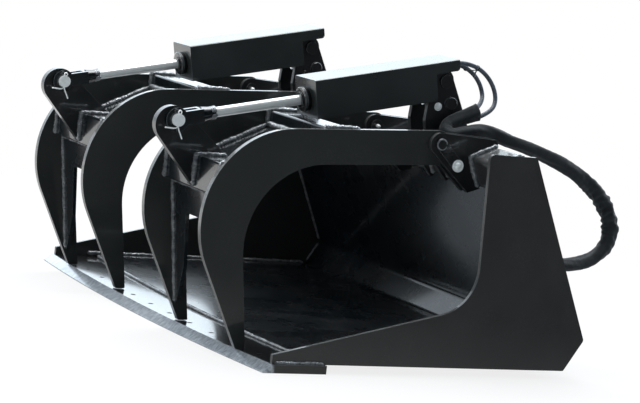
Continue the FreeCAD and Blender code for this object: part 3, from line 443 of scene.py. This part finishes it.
def woven():
    """Weave = sin(k u) * sin(k v), both as a lighter thread colour and as bump height."""
    material, tree, shader = new_material("woven sleeve", Roughness=0.78, Sheen_Weight=0.22,
                                          Sheen_Roughness=0.4)
    uv = add_node(tree, "ShaderNodeUVMap", uv_map="weave")
    parts = add_node(tree, "ShaderNodeSeparateXYZ")
    link(tree, uv.outputs["UV"], parts.inputs[0])
    warp, weft = (maths(tree, "SINE", maths(tree, "MULTIPLY", parts.outputs[axis], threads))
                  for axis in ("X", "Y"))
    weave = maths(tree, "MULTIPLY", warp, weft)
    place = add_node(tree, "ShaderNodeTexCoord").outputs["Object"]
    fade = remap(tree, noise(tree, place, 24.0, 5.0), 0.3, 0.7)
    shade = blend_colour(tree, fade, (0.007, 0.009, 0.011), (0.019, 0.022, 0.026))
    shade = blend_colour(tree, remap(tree, weave, 0.0, 1.0, 0.0, 0.4), shade, (0.045, 0.052, 0.062))
    link(tree, shade, shader.inputs["Base Color"])
    bump = add_node(tree, "ShaderNodeBump", Strength=0.5, Distance=0.0005)
    link(tree, weave, bump.inputs["Height"])
    link(tree, bump.outputs["Normal"], shader.inputs["Normal"])
    return material


finishes["hose_rubber"] = rubber()
finishes["sleeve_fabric"] = woven()

# %% [markdown]
# ## Dressing the frame
# Every solid of the frame names a finish in its record, so the frame is dressed by that list. The side
# plates lie in the open light, so they take their own coat, the black coat painted a shade greyer:
# painted light.

# %% Dress the frame
slots = {part["node"]: part["material_slot"] for part in frame["record"]["subparts"]}
for node, solid in frame["nodes"].items():
    solid.data.materials.clear()
    finish = "lit_side_paint" if node.startswith("side_plate") else slots[node]
    solid.data.materials.append(finishes[finish])
print("dressed", len(slots), "solids in", len(finishes), "finishes")

# %% [markdown]
# ## Hoses
# Two hoses leave the left cylinder's guard, loop over its rear end and drop into a fabric sleeve. A
# hose keeps its length and bends smoothly, so each is a spline whose control points are the corners
# of the route, and a tube of rings follows it.


# %% Hose splines
half_pitch = 0.478
grapples = (("left", half_pitch), ("right", -half_pitch))
hose_radius, hose_sides = 0.007, 24


def route_spline(name, points):
    """An open spline of order 3 through the first and last point, pulled by those between."""
    curve = bpy.data.curves.new(name, "CURVE")
    curve.dimensions = "3D"
    curve.resolution_u = 16
    spline = curve.splines.new("NURBS")
    spline.points.add(len(points) - 1)
    for point, place in zip(spline.points, points):
        point.co = (*place, 1.0)
    spline.order_u = 3
    spline.use_endpoint_u = True
    piece = bpy.data.objects.new(name, curve)
    bpy.context.scene.collection.objects.link(piece)
    return piece


def line_of(name, points):
    """The points that the route's spline runs through. The spline itself isn't kept."""
    guide = route_spline(name + "_guide", points)
    mesh = bpy.data.meshes.new_from_object(guide)
    line = np.empty(len(mesh.vertices) * 3)
    mesh.vertices.foreach_get("co", line)
    bpy.data.objects.remove(guide)
    return line.reshape(-1, 3)


def finish_piece(piece, finish):
    """One finish as the piece's material."""
    piece.data.materials.append(finishes[finish])
    return piece


def path_length(points):
    """The sum of the distances between neighbouring points."""
    return float(np.linalg.norm(np.diff(points, axis=0), axis=1).sum())


def carried_frame(path, start_side):
    """A side vector for every point of a path: the one before it, less its share along the path."""
    tangent = unit(np.gradient(path, axis=0))
    side = np.empty_like(path)
    current = np.asarray(start_side, float)
    for i, t in enumerate(tangent):
        current = current - t * (current @ t)
        current = current / np.linalg.norm(current)
        side[i] = current
    return side


outer_route = [
    (0.497, 0.6666, 0.8988), (0.497, 0.725, 0.9108), (0.497, 0.785, 0.917), (0.5, 0.841, 0.902),
    (0.511, 0.882, 0.862), (0.532, 0.892, 0.812), (0.557, 0.864, 0.775), (0.5703, 0.815, 0.7577),
]
inner_route = [
    (0.459, 0.6666, 0.8988), (0.459, 0.719, 0.9095), (0.462, 0.775, 0.911), (0.471, 0.827, 0.89),
    (0.488, 0.856, 0.849), (0.52, 0.852, 0.8), (0.556, 0.809, 0.782),
]
hose_lines = {}
for name, route in (("hose_outer", outer_route), ("hose_inner", inner_route)):
    path, s = even_path(line_of(name, route), 0.004)
    hose_lines[name] = path
    radius = np.full((len(s), hose_sides), hose_radius)
    rings = tube_grid(path, s, radius, carried_frame(path, (1.0, 0.0, 0.0)), hose_sides)
    piece = finish_piece(add_mesh(name + "_cover", rings, ring_faces(len(s), hose_sides)), "hose_rubber")
    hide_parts(name)
    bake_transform(piece)
    print(name, "length", round(path_length(path), 3))

# %% [markdown]
# ## The sleeve
# The nylon sleeve is flat when empty, so round two hoses it becomes a soft oval. It is smooth where it
# runs straight and gathers in cross wrinkles where it turns back down to the couplers. It is a grid
# carried along its own spline: the ring is an oval, and waves along the length push it in and out.


# %% Sleeve
sleeve_sides, sleeve_thin, sleeve_full = 40, 0.0162, 0.0298


def sleeve_mesh(name, route, wide, high):
    """Ring radius = 1 / hypot(cos t / wide, sin t / high), times 1 + wrinkles. Wrinkles are a sum of
    sines along the sleeve whose phase drifts round it, so that each one is a slanted fold."""
    path, s = even_path(line_of(name, route), 0.0035)
    t = np.linspace(0, 2 * math.pi, sleeve_sides, endpoint=False)[None, :]
    along = s[:, None]
    oval = 1.0 / np.hypot(np.cos(t) / wide, np.sin(t) / high)
    loop = np.clip((along - 0.66) / 0.12, 0, 1) * np.clip((0.98 - along) / 0.1, 0, 1)
    drift = np.sin(along * 13) + 0.6 * np.sin(along * 31 + 1.0)
    folds = (0.08 * np.sin(2 * t + along * 9 + drift) + 0.05 * np.sin(5 * t - along * 8 + 2 * drift)
             + (0.015 + 0.1 * loop) * np.sin(along * 230 + 3.2 * np.sin(t + drift)) * np.sin(along * 37 + t)
             + 0.07 * loop * np.sin(along * 83 + 2.4 * np.cos(2 * t - drift)))
    mouth = np.clip(along / 0.05, 0, 1)
    radius = np.clip(oval * (1 + folds) * (1.24 - 0.15 * mouth + 0.06 * loop), sleeve_thin, sleeve_full)
    points = tube_grid(path, s, radius, carried_frame(path, (1.0, 0.0, 0.0)), sleeve_sides)
    piece = add_mesh(name, points, ring_faces(len(path), sleeve_sides))
    layer = piece.data.uv_layers.new(name="weave")
    index = np.empty(len(piece.data.loops), int)
    piece.data.loops.foreach_get("vertex_index", index)
    ring = np.minimum(index // sleeve_sides, len(s) - 1)
    u = s[ring]
    v = (index % sleeve_sides) / sleeve_sides * math.pi * sleeve_diameter
    layer.data.foreach_set("uv", np.stack([u, v], -1).ravel())
    return piece, path


sleeve_diameter = 0.044
sleeve_route = [
    (0.566, 0.808, 0.771), (0.565, 0.757, 0.752), (0.5646, 0.711, 0.7267), (0.5789, 0.6956, 0.7105),
    (0.5991, 0.6956, 0.701), (0.6134, 0.711, 0.699), (0.614, 0.75, 0.711), (0.612, 0.806, 0.722),
    (0.611, 0.855, 0.71), (0.612, 0.912, 0.692), (0.614, 0.977, 0.675), (0.616, 1.046, 0.654),
    (0.618, 1.112, 0.629), (0.62, 1.178, 0.597), (0.622, 1.24, 0.556), (0.624, 1.29, 0.502),
    (0.626, 1.316, 0.44), (0.628, 1.308, 0.382), (0.632, 1.267, 0.342), (0.638, 1.22, 0.325),
    (0.65, 1.166, 0.316), (0.65, 1.112, 0.316),
]
sleeve, sleeve_path = sleeve_mesh("hose_sleeve_cloth", sleeve_route, 0.0185, 0.0235)
finish_piece(sleeve, "sleeve_fabric")
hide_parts("hose_sleeve")
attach(sleeve, "bucket")
print("sleeve length", round(path_length(sleeve_path), 3), "polygons", len(sleeve.data.polygons))

# %% [markdown]
# ## Small fittings
# A split pin is one wire of half-round section folded into an eye; its two legs pass through the pin
# together and are bent apart below it. So it is thin tubes for the eye and for both legs, which share
# a path until the bend. What a lathe or a press makes round is a profile turned about an axis: the
# rings of the gland, the grease nipples, and the crimped ferrule at the end of each hose.


# %% Small fittings
def wire(name, routes, radius, finish, sides=12):
    """Round wires of one piece along smooth routes, each a grid of rings with a constant radius."""
    points, faces, first = [], [], 0
    for route in routes:
        path, s = even_path(line_of(name, route), 0.0012)
        side_way = carried_frame(path, (1.0, 0.0, 0.0))
        rings = tube_grid(path, s, np.full((len(s), sides), radius), side_way, sides)
        points.append(rings)
        faces += ring_faces(len(s), sides, first)
        first += len(rings)
    return finish_piece(add_mesh(name, np.concatenate(points), faces), finish)


def turned(name, outline, centre, axis, finish, body, sides=48):
    """A solid of revolution: ring i lies at outline[i][0] along the axis with radius outline[i][1]."""
    outline = np.asarray(outline, float)
    axis = unit(axis)
    path = np.asarray(centre, float) + outline[:, :1] * axis
    across = unit(np.cross(axis, (0.0, 1.0, 0.0)))
    other = np.cross(axis, across)
    t = np.linspace(0, 2 * math.pi, sides, endpoint=False)
    ring = np.cos(t)[:, None] * across + np.sin(t)[:, None] * other
    points = path[:, None, :] + outline[:, 1][:, None, None] * ring[None]
    points = np.concatenate([points.reshape(-1, 3), path[:1], path[-1:]])
    piece = finish_piece(add_mesh(name, points, ring_faces(len(path), sides)), finish)
    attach(piece, body)


# %% Split pins
rod_eye_y, rod_eye_z = -0.176, 0.677
pin_hole, pin_end, wire_radius = 0.0345, 0.0425, 0.0022


def from_eye(x, places):
    """Points given as (out from x, rearwards, up), the last two from the centre of the rod's eye."""
    return [(x + out, rod_eye_y + back, rod_eye_z + up) for out, back, up in places]


for side, x in grapples:
    eye = from_eye(x, [(pin_hole, 0.0, 0.012), (pin_end, -0.003, 0.019), (pin_end, -0.0065, 0.025),
                       (pin_end, -0.001, 0.031), (pin_end, 0.0055, 0.025), (pin_end, 0.002, 0.019),
                       (pin_hole, 0.0, 0.012)])
    level_leg = from_eye(x + pin_hole, [(0.0, 0.0, 0.016), (0.0, 0.0, -0.014), (0.0, -0.002, -0.0225),
                                        (0.002, -0.010, -0.0255), (0.004, -0.028, -0.0245),
                                        (0.005, -0.043, -0.0235)])
    long_leg = from_eye(x + pin_hole, [(0.0, 0.0, 0.016), (0.0, 0.0, -0.018), (0.001, 0.004, -0.030),
                                       (0.002, 0.011, -0.044), (0.002, 0.017, -0.056)])
    piece = wire("split_wire_" + side, [eye, level_leg, long_leg], wire_radius, "zinc_plate")
    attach(piece, "cylinder_ram_" + side)
    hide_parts("split_pin_" + side)
    print(piece.name, len(piece.data.polygons), "faces")

# %% Gland rings, nipples and ferrules
ram_way = np.array([0.0, 0.97965, 0.20084])
gland_reach = 0.4215
gland_rim = [(0.0, 0.030), (0.0, 0.0365), (0.0012, 0.0388), (0.0042, 0.0388), (0.0054, 0.0375),
             (0.0066, 0.0375), (0.0074, 0.0386), (0.0094, 0.0386), (0.0102, 0.0372), (0.012, 0.0372),
             (0.012, 0.030)]
nipple = [(-0.004, 0.002), (-0.004, 0.0052), (0.004, 0.0052), (0.0055, 0.0036), (0.0085, 0.0032),
          (0.0105, 0.0042), (0.0125, 0.0038), (0.0135, 0.0015)]
hinge_y, hinge_z, nipple_inset = 0.607, 0.680, 0.176
for side, x in grapples:
    face = np.array([x, rod_eye_y, rod_eye_z]) + gland_reach * ram_way
    turned("gland_rings_" + side, gland_rim, face, ram_way, "gland_steel", "cylinder_body_" + side)
    turned("grease_nipple_" + side, nipple, (x - nipple_inset, hinge_y, hinge_z), (1.0, 0.0, 0.0),
           "zinc_plate", "bucket", 24)

crimps = [(-0.004, 0.0085), (0.0, 0.0098), (0.022, 0.0098), (0.0235, 0.0088), (0.026, 0.0088),
          (0.0275, 0.0098), (0.031, 0.0098), (0.0325, 0.0088), (0.035, 0.0088), (0.0365, 0.0098),
          (0.041, 0.0094), (0.042, 0.0075)]
for name, route in (("outer", outer_route), ("inner", inner_route)):
    turned("ferrule_" + name, crimps, route[0], (0.0, 1.0, 0.2), "line_steel", "cylinder_body_left")
print("profiles of", len(gland_rim), len(nipple), "and", len(crimps), "points turned")

# %% [markdown]
# ## The cable tie
# A nylon tie keeps the two hoses together. It is a loop round both: half a circle over each, straight
# bands between. Its head is a small rounded block, and the tail that sticks out was never trimmed.


# %% Cable tie
arc_points, band_sides, head_sides = 20, 12, 16


def loop_round(a, b, along, gap):
    """A stadium round two points: half circles of radius gap about a and b, square to along."""
    way = unit(b - a)
    rise = unit(np.cross(along, way))
    t = np.linspace(-math.pi / 2, math.pi / 2, arc_points)[:, None]
    far = b + gap * (np.cos(t) * way + np.sin(t) * rise)
    near = a + gap * (-np.cos(t) * way - np.sin(t) * rise)
    return np.concatenate([far, near, far[:1]]), rise, way


def cable_tie(name, a, b, along, gap, band):
    """Band radius = 1 / hypot(cos t / half the band, sin t / band), the same along the loop and the
    tail. Head radius = a barrel along its length times a rounded square round it."""
    loop, rise, way = loop_round(a, b, along, gap)
    start = loop[arc_points - 1]
    tail = np.array([start, start + 0.006 * rise, start + 0.016 * rise - 0.002 * way,
                     start + 0.027 * rise + 0.002 * along])
    t = np.linspace(0, 2 * math.pi, band_sides, endpoint=False)
    section = 1.0 / np.hypot(np.cos(t) / (0.5 * band), np.sin(t) / band)
    points, faces, first = [], [], 0
    for corners in (loop, tail):
        path, s = even_path(corners, 0.001)
        side_way = np.cross(along, np.gradient(path, axis=0))
        ring = tube_grid(path, s, np.tile(section, (len(s), 1)), side_way, band_sides)
        points.append(ring)
        faces += ring_faces(len(path), band_sides, first)
        first += len(ring)
    head = np.array([start - 0.003 * way, start - 0.0015 * way, start + 0.003 * way, start + 0.0042 * way])
    path, s = even_path(head, 0.0008)
    swell = 0.0036 * np.sqrt(np.clip(1 - np.abs(2 * s / s[-1] - 1) ** 6, 0.15, 1))
    corner = np.abs(np.cos(2 * np.linspace(0, 2 * math.pi, head_sides, endpoint=False)))
    points.append(tube_grid(path, s, swell[:, None] * (1.2 - 0.2 * corner[None, :]), rise, head_sides))
    faces += ring_faces(len(path), head_sides, first)
    return finish_piece(add_mesh(name, np.concatenate(points), faces), "gland_steel")


outer_spot, inner_spot = hose_lines["hose_outer"][41], hose_lines["hose_inner"][36]
forward = unit(hose_lines["hose_outer"][44] - hose_lines["hose_outer"][38])
tie = cable_tie("hose_tie", inner_spot, outer_spot, forward, 0.0085, 0.0024)
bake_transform(tie)
print("tie spans", round(float(np.linalg.norm(outer_spot - inner_spot)), 3))

# %% [markdown]
# ## Weld beads
# Every plate is joined by a bead that a welder laid in small overlapping pools, and under black
# paint those ripples catch the light as a silvery rope. The beads are given a silvery grey metal
# instead of black paint: a painted highlight. A bead is a thin tube along the joint whose radius
# rises and falls with each pool. Its ends draw in to a point.


# %% Beads
bead_sides = 10


def bead_radius(s, sides, size, pool, seed):
    """size * (0.88 + 0.2 * |sin(pi s / pool + lean + wander)| + slow and fast waves), drawn in at both
    ends as the square root of the distance from them."""
    t = np.linspace(0, 2 * math.pi, sides, endpoint=False)[None, :]
    s = s[:, None]
    wander = 0.5 * np.sin(s * 61 + seed) + 0.4 * np.sin(s * 113 - seed)
    pools = 0.2 * np.abs(np.sin(math.pi * s / pool + 2.3 * np.cos(t) + 2.4 * wander))
    slow = (0.12 * np.sin(s * 71 + seed) + 0.08 * np.sin(s * 243 + 2.1 * seed + 2 * t)
            + 0.07 * np.sin(s * 611 + 3 * np.cos(t) + seed) * np.sin(s * 97 + 2 * t))
    ends = np.sqrt(np.clip(np.minimum(s, s[-1] - s) / size, 0.0, 1.0))
    return size * (0.88 + pools + slow) * np.maximum(ends, 0.15)


def beads(name, paths, body, pool=0.008):
    """All beads of one body as one mesh. A path is a list of corners, the way that faces out and
    the bead's radius."""
    points, faces, first = [], [], 0
    for seed, (corners, side_way, size) in enumerate(paths):
        path, s = even_path(corners, 0.0016)
        ring = tube_grid(path, s, bead_radius(s, bead_sides, size, pool, seed * 1.37), side_way, bead_sides)
        points.append(ring)
        faces += ring_faces(len(path), bead_sides, first)
        first += len(ring)
    piece = add_mesh(name, np.concatenate(points), faces)
    piece.data.materials.append(finishes["weld_bead"])
    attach(piece, body)
    print(name, len(paths), "beads", len(faces), "faces")


def circle(centre, radius, turns):
    """Points of a circle, or a part of it, across X about a centre."""
    a = np.linspace(0, 2 * math.pi * turns, 48)
    x, y, z = centre
    return np.stack([0 * a + x, y + radius * np.cos(a), z + radius * np.sin(a)], -1)


# %% [markdown]
# A grapple has its beads inside, where cover, tubes, claw plate and legs meet the two tines, and on
# both sides of the lug. On the rod three rings show where its end was welded into the fork.

# %% Beads of the grapples
half_gap, bead_inset, lug_face = 0.2075, 0.003, 0.0155
front_face, front_top, front_back = -0.0970, 0.5765, 0.0076
rear_front, rear_top, rear_back, rear_low = 0.2330, 0.7055, 0.338, 0.602


def arm_beads(x):
    """The joints of one grapple: cover, tubes, claw plate and legs, and lug."""
    paths = []
    low, high = x - half_gap, x + half_gap
    for face, inward in ((low, 1.0), (high, -1.0)):
        at = face + inward * bead_inset
        cover = [(at, front_back, 0.5500), (at, 0.236, 0.6580)]
        front_tube = [(at, front_face, 0.474), (at, front_face, front_top), (at, front_back, front_top)]
        rear_tube = [(at, rear_front, rear_low), (at, rear_front, rear_top), (at, rear_back, rear_top),
                     (at, rear_back, rear_low)]
        leg = [(at, -0.0680, 0.470), (at, -0.0160, 0.085)]
        paths += [(cover, (inward, 0.0, 0.3), 0.0095), (front_tube, (inward, 0.1, 0.0), 0.008),
                  (rear_tube, (inward, 0.1, 0.0), 0.008), (leg, (inward, -0.5, 0.0), 0.0068)]
    paths.append(([(low, 0.0090, 0.5495), (high, 0.0090, 0.5495)], (0.0, 0.3, 1.0), 0.009))
    paths.append(([(low, 0.2335, 0.6590), (high, 0.2335, 0.6590)], (0.0, -0.6, 1.0), 0.009))
    paths.append(([(low, -0.0690, 0.4715), (high, -0.0690, 0.4715)], (0.0, -1.0, -0.3), 0.008))
    for side in (-1.0, 1.0):
        at = x + side * lug_face
        paths.append(([(at, front_face, 0.480), (at, front_face, front_top), (at, 0.006, front_top)],
                      (side, 0.05, 0.0), 0.0088))
    return paths


def neck_ring(x, along, radius):
    """A circle round the rod, square to it, at a distance from the rod pin."""
    a = np.linspace(0, 1.96 * math.pi, 40)[:, None]
    centre = np.array([x, rod_eye_y, rod_eye_z]) + along * ram_way
    rise = np.cross(ram_way, (1.0, 0.0, 0.0))
    return centre + radius * (np.cos(a) * np.array([1.0, 0.0, 0.0]) + np.sin(a) * rise)


for side, x in grapples:
    beads("weld_arm_" + side, arm_beads(x), "grapple_arm_" + side)
    rings = [(neck_ring(x, along, 0.0165), ram_way, 0.0042) for along in (0.121, 0.1265, 0.132)]
    beads("weld_rod_" + side, rings, "cylinder_ram_" + side, pool=0.006)

# %% [markdown]
# The bucket's own joints: ears and towers on the square beam, the beam and the bent sheet against
# both side plates, and the sheet's front edge on the bowed cutting edge. Behind, ribs and brackets
# are welded to the back in the same way.


# %% Beads of the bucket
lean = math.radians(24)
beam_way = np.array([0.0, math.cos(lean), math.sin(lean)])
beam_down = np.array([0.0, math.sin(lean), -math.cos(lean)])
beam_corner = np.array([0.0, 0.7145, 0.6455])
fold = np.array([0.0, 1.0670, 0.118])
tine_reach, ear_face = 0.217, 0.027
tower_inner, tower_outer = 0.0413, 0.0572


def beam_spot(x, along, down):
    """A point on the beam: its front top corner, plus along its top and down its front."""
    return tuple(beam_corner + beam_way * along + beam_down * down + np.array([x, 0, 0]))


def back_spot(x, up, out):
    """A point behind the bowl: up along the back's inner face from its fold, out to the rear."""
    return tuple(fold - beam_down * up + beam_way * out + np.array([x, 0, 0]))


def round_beam(at, low, back):
    """Corners of a bead down the beam's front to low, over its front edge and rearwards to back."""
    return [beam_spot(at, -0.002, low), beam_spot(at, -0.002, -0.002), beam_spot(at, back, -0.002)]


def beam_beads():
    """Beads of ears and towers: one on each outer face of a pair of plates, and one round the pin."""
    paths = []
    for centre in (half_pitch, -half_pitch):
        for tine in (centre - tine_reach, centre + tine_reach):
            for side in (-1.0, 1.0):
                at = tine + side * ear_face + side * 0.002
                low = 0.1 if tine > centre else 0.04
                paths.append((round_beam(at, low, 0.1), (side, 0.02, 0.0), 0.009))
        pin_end_ring = circle((centre + 0.2505, hinge_y, hinge_z), 0.0160, 0.97)
        paths.append((pin_end_ring, (1.0, 0.0, 0.0), 0.0028))
        for face, side in ((-tower_outer, -1.0), (-tower_inner, 1.0), (tower_inner, -1.0),
                           (tower_outer, 1.0)):
            at = centre + face + side * 0.002
            paths.append((round_beam(at, 0.098, 0.1), (side, 0.02, 0.0), 0.008))
    return paths


def shell_beads():
    """Beads of the side plates on the bent sheet, the beam and the cutting edge, and of the sheet's
    front, which runs along a circle inset from the bow."""
    paths = []
    for side in (-1.0, 1.0):
        inner, outer = side * 0.8875, side * 0.9016
        floor_run = [(inner, 0.150, 0.0365), (inner, 1.002, 0.0365)]
        strip_run = [(inner, 1.016, 0.040), (inner, 1.056, 0.112)]
        back_run = [(inner, 1.057, 0.125), (inner, 0.8485, 0.593)]
        beam_run = [beam_spot(inner, -0.002, 0.1016), beam_spot(inner, -0.002, -0.001),
                    beam_spot(inner, 0.088, -0.001)]
        edge_run = [(outer, 0.040, 0.0265), (outer, 0.203, 0.0265)]
        paths += [(floor_run, (-side, 0.0, 1.0), 0.0075), (strip_run, (-side, -0.5, 0.3), 0.006),
                  (back_run, (-side, -0.5, 0.0), 0.0055), (beam_run, (-side, 0.02, 0.0), 0.0085),
                  (edge_run, (side, 0.0, 1.0), 0.008)]
    inset = edge_radius - 0.187
    angle = np.linspace(-0.0948, 0.0948, 60)
    ledge = np.stack([inset * np.sin(angle), edge_centre - inset * np.cos(angle), 0 * angle + 0.0285], -1)
    paths.append((ledge, (0.0, -1.0, 1.0), 0.005))
    return paths


def rear_beads():
    """Beads of the four ribs and of the bracket behind the back."""
    paths = []
    for rib in (-0.54, -0.19, 0.19, 0.54):
        for side in (-1.0, 1.0):
            at = rib + side * 0.0055
            seam = [back_spot(at, 0.08, 0.0105), back_spot(at, 0.52, 0.0105)]
            paths.append((seam, (side, 0.0, 0.1), 0.004))
    for side in (-1.0, 1.0):
        at = 0.650 + side * 0.0455
        paths.append(([(at, 0.9985, 0.293), (at, 0.9775, 0.339)], (side, 0.0, 0.1), 0.0035))
    return paths


beads("weld_bucket", beam_beads() + shell_beads() + rear_beads(), "bucket")

# %% [markdown]
# ## Studio
# The bucket stands on a pale floor in a white room that is dark behind the camera, so that black
# faces towards us stay black while every upward face and the bowl's floor pick up white. Shiny black
# shows little but its surroundings, so what the floor sends into reflections is set by itself: bright
# to the far left, dim near the bucket and darker away from it.

# %% Floor
bpy.ops.mesh.primitive_plane_add(size=60, location=(0, 0, -0.0005))
floor = bpy.context.object
floor.name = "studio_floor"
floor_material = bpy.data.materials.new("studio floor")
floor_material.use_nodes = True
tree = floor_material.node_tree
tree.nodes.clear()
place = add_node(tree, "ShaderNodeTexCoord").outputs["Object"]
reach = add_node(tree, "ShaderNodeVectorMath", operation="LENGTH")
link(tree, place, reach.inputs[0])
across = add_node(tree, "ShaderNodeSeparateXYZ")
link(tree, place, across.inputs[0])
rays = add_node(tree, "ShaderNodeLightPath")
mirrored = maths(tree, "MAXIMUM", remap(tree, reach.outputs["Value"], 2.3, 1.2, 0.05, 0.3),
                 remap(tree, across.outputs["X"], -0.2, -1.6, 0.05, 1.0))
pale = add_node(tree, "ShaderNodeEmission")
shade = blend_colour(tree, rays.outputs["Is Glossy Ray"], (1.0, 1.0, 1.0), mirrored)
link(tree, shade, pale.inputs["Color"])
diffuse = add_node(tree, "ShaderNodeBsdfDiffuse", Color=(0.86, 0.86, 0.86, 1.0))
seen = maths(tree, "MULTIPLY", rays.outputs["Is Camera Ray"],
             remap(tree, reach.outputs["Value"], 1.4, 3.2, 0.82, 1.0))
mix = add_node(tree, "ShaderNodeMixShader")
link(tree, maths(tree, "MAXIMUM", seen, rays.outputs["Is Glossy Ray"]), mix.inputs[0])
link(tree, diffuse.outputs[0], mix.inputs[1])
link(tree, pale.outputs[0], mix.inputs[2])
output = add_node(tree, "ShaderNodeOutputMaterial")
link(tree, mix.outputs[0], output.inputs[0])
floor.data.materials.append(floor_material)
print("floor in place")

# %% [markdown]
# The room is one bright patch of sky, high behind the bucket to the left, and it falls off to black
# on the other side. The camera sees plain white instead, and matt faces get an even fill.

# %% World
world = bpy.data.worlds.new("white room")
bpy.context.scene.world = world
world.use_nodes = True
tree = world.node_tree
tree.nodes.clear()
view_way = add_node(tree, "ShaderNodeTexCoord").outputs["Generated"]
towards = add_node(tree, "ShaderNodeVectorMath", operation="DOT_PRODUCT")
link(tree, view_way, towards.inputs[0])
towards.inputs[1].default_value = Vector((-0.7, 0.42, 0.58)).normalized()
glow_level = remap(tree, towards.outputs["Value"], 0.25, 0.88, 0.0, 1.9)
rays = add_node(tree, "ShaderNodeLightPath")
seen = maths(tree, "MAXIMUM", rays.outputs["Is Camera Ray"], rays.outputs["Is Transmission Ray"])
fill = maths(tree, "MULTIPLY", rays.outputs["Is Diffuse Ray"], 0.5)
level = maths(tree, "MAXIMUM", maths(tree, "MAXIMUM", glow_level, fill), seen)
background = add_node(tree, "ShaderNodeBackground")
link(tree, blend_colour(tree, seen, (0.8, 0.91, 1.0), (1.0, 1.0, 1.0)), background.inputs["Color"])
link(tree, level, background.inputs["Strength"])
output = add_node(tree, "ShaderNodeOutputWorld")
link(tree, background.outputs[0], output.inputs[0])
print("world", len(tree.nodes), "nodes")

# %% [markdown]
# Two large square lamps, one in front and one above, give soft light without hard shadows.


# %% Lamps
def softbox(name, place, target, size, power):
    """A square area lamp at place that looks at target."""
    lamp = bpy.data.lights.new(name, "AREA")
    lamp.shape = "SQUARE"
    lamp.size = size
    lamp.energy = power
    holder = bpy.data.objects.new(name, lamp)
    holder.location = place
    aim = Vector(target) - Vector(place)
    holder.rotation_euler = aim.to_track_quat("-Z", "Y").to_euler()
    bpy.context.scene.collection.objects.link(holder)


softbox("front softbox", (-2.2, -4.6, 2.8), (0.0, 0.2, 0.3), 2.2, 90.0)
softbox("top softbox", (-0.8, 0.5, 4.5), (0.0, 0.5, 0.3), 3.4, 170.0)

# %% [markdown]
# ## Camera
# The picture was taken with a long lens from the front left corner, slightly above the bucket, and
# with the camera a little out of level.

# %% Camera
lens = bpy.data.cameras.new("camera")
lens.lens = 149.99
lens.sensor_width = 36.0
lens.shift_x = 0.04024
lens.shift_y = -0.00042
lens.clip_end = 200.0
camera = bpy.data.objects.new("camera", lens)
heading, dip, roll = (math.radians(angle) for angle in (63.456, 7.015, 6.665))
turn = (Matrix.Rotation(heading, 4, "Z") @ Matrix.Rotation(math.pi / 2 - dip, 4, "X")
        @ Matrix.Rotation(roll, 4, "Z"))
camera.matrix_world = Matrix.Translation((7.74731, -3.37617, 1.44777)) @ turn
bpy.context.scene.collection.objects.link(camera)
bpy.context.scene.camera = camera
bpy.context.scene.view_settings.view_transform = "Standard"
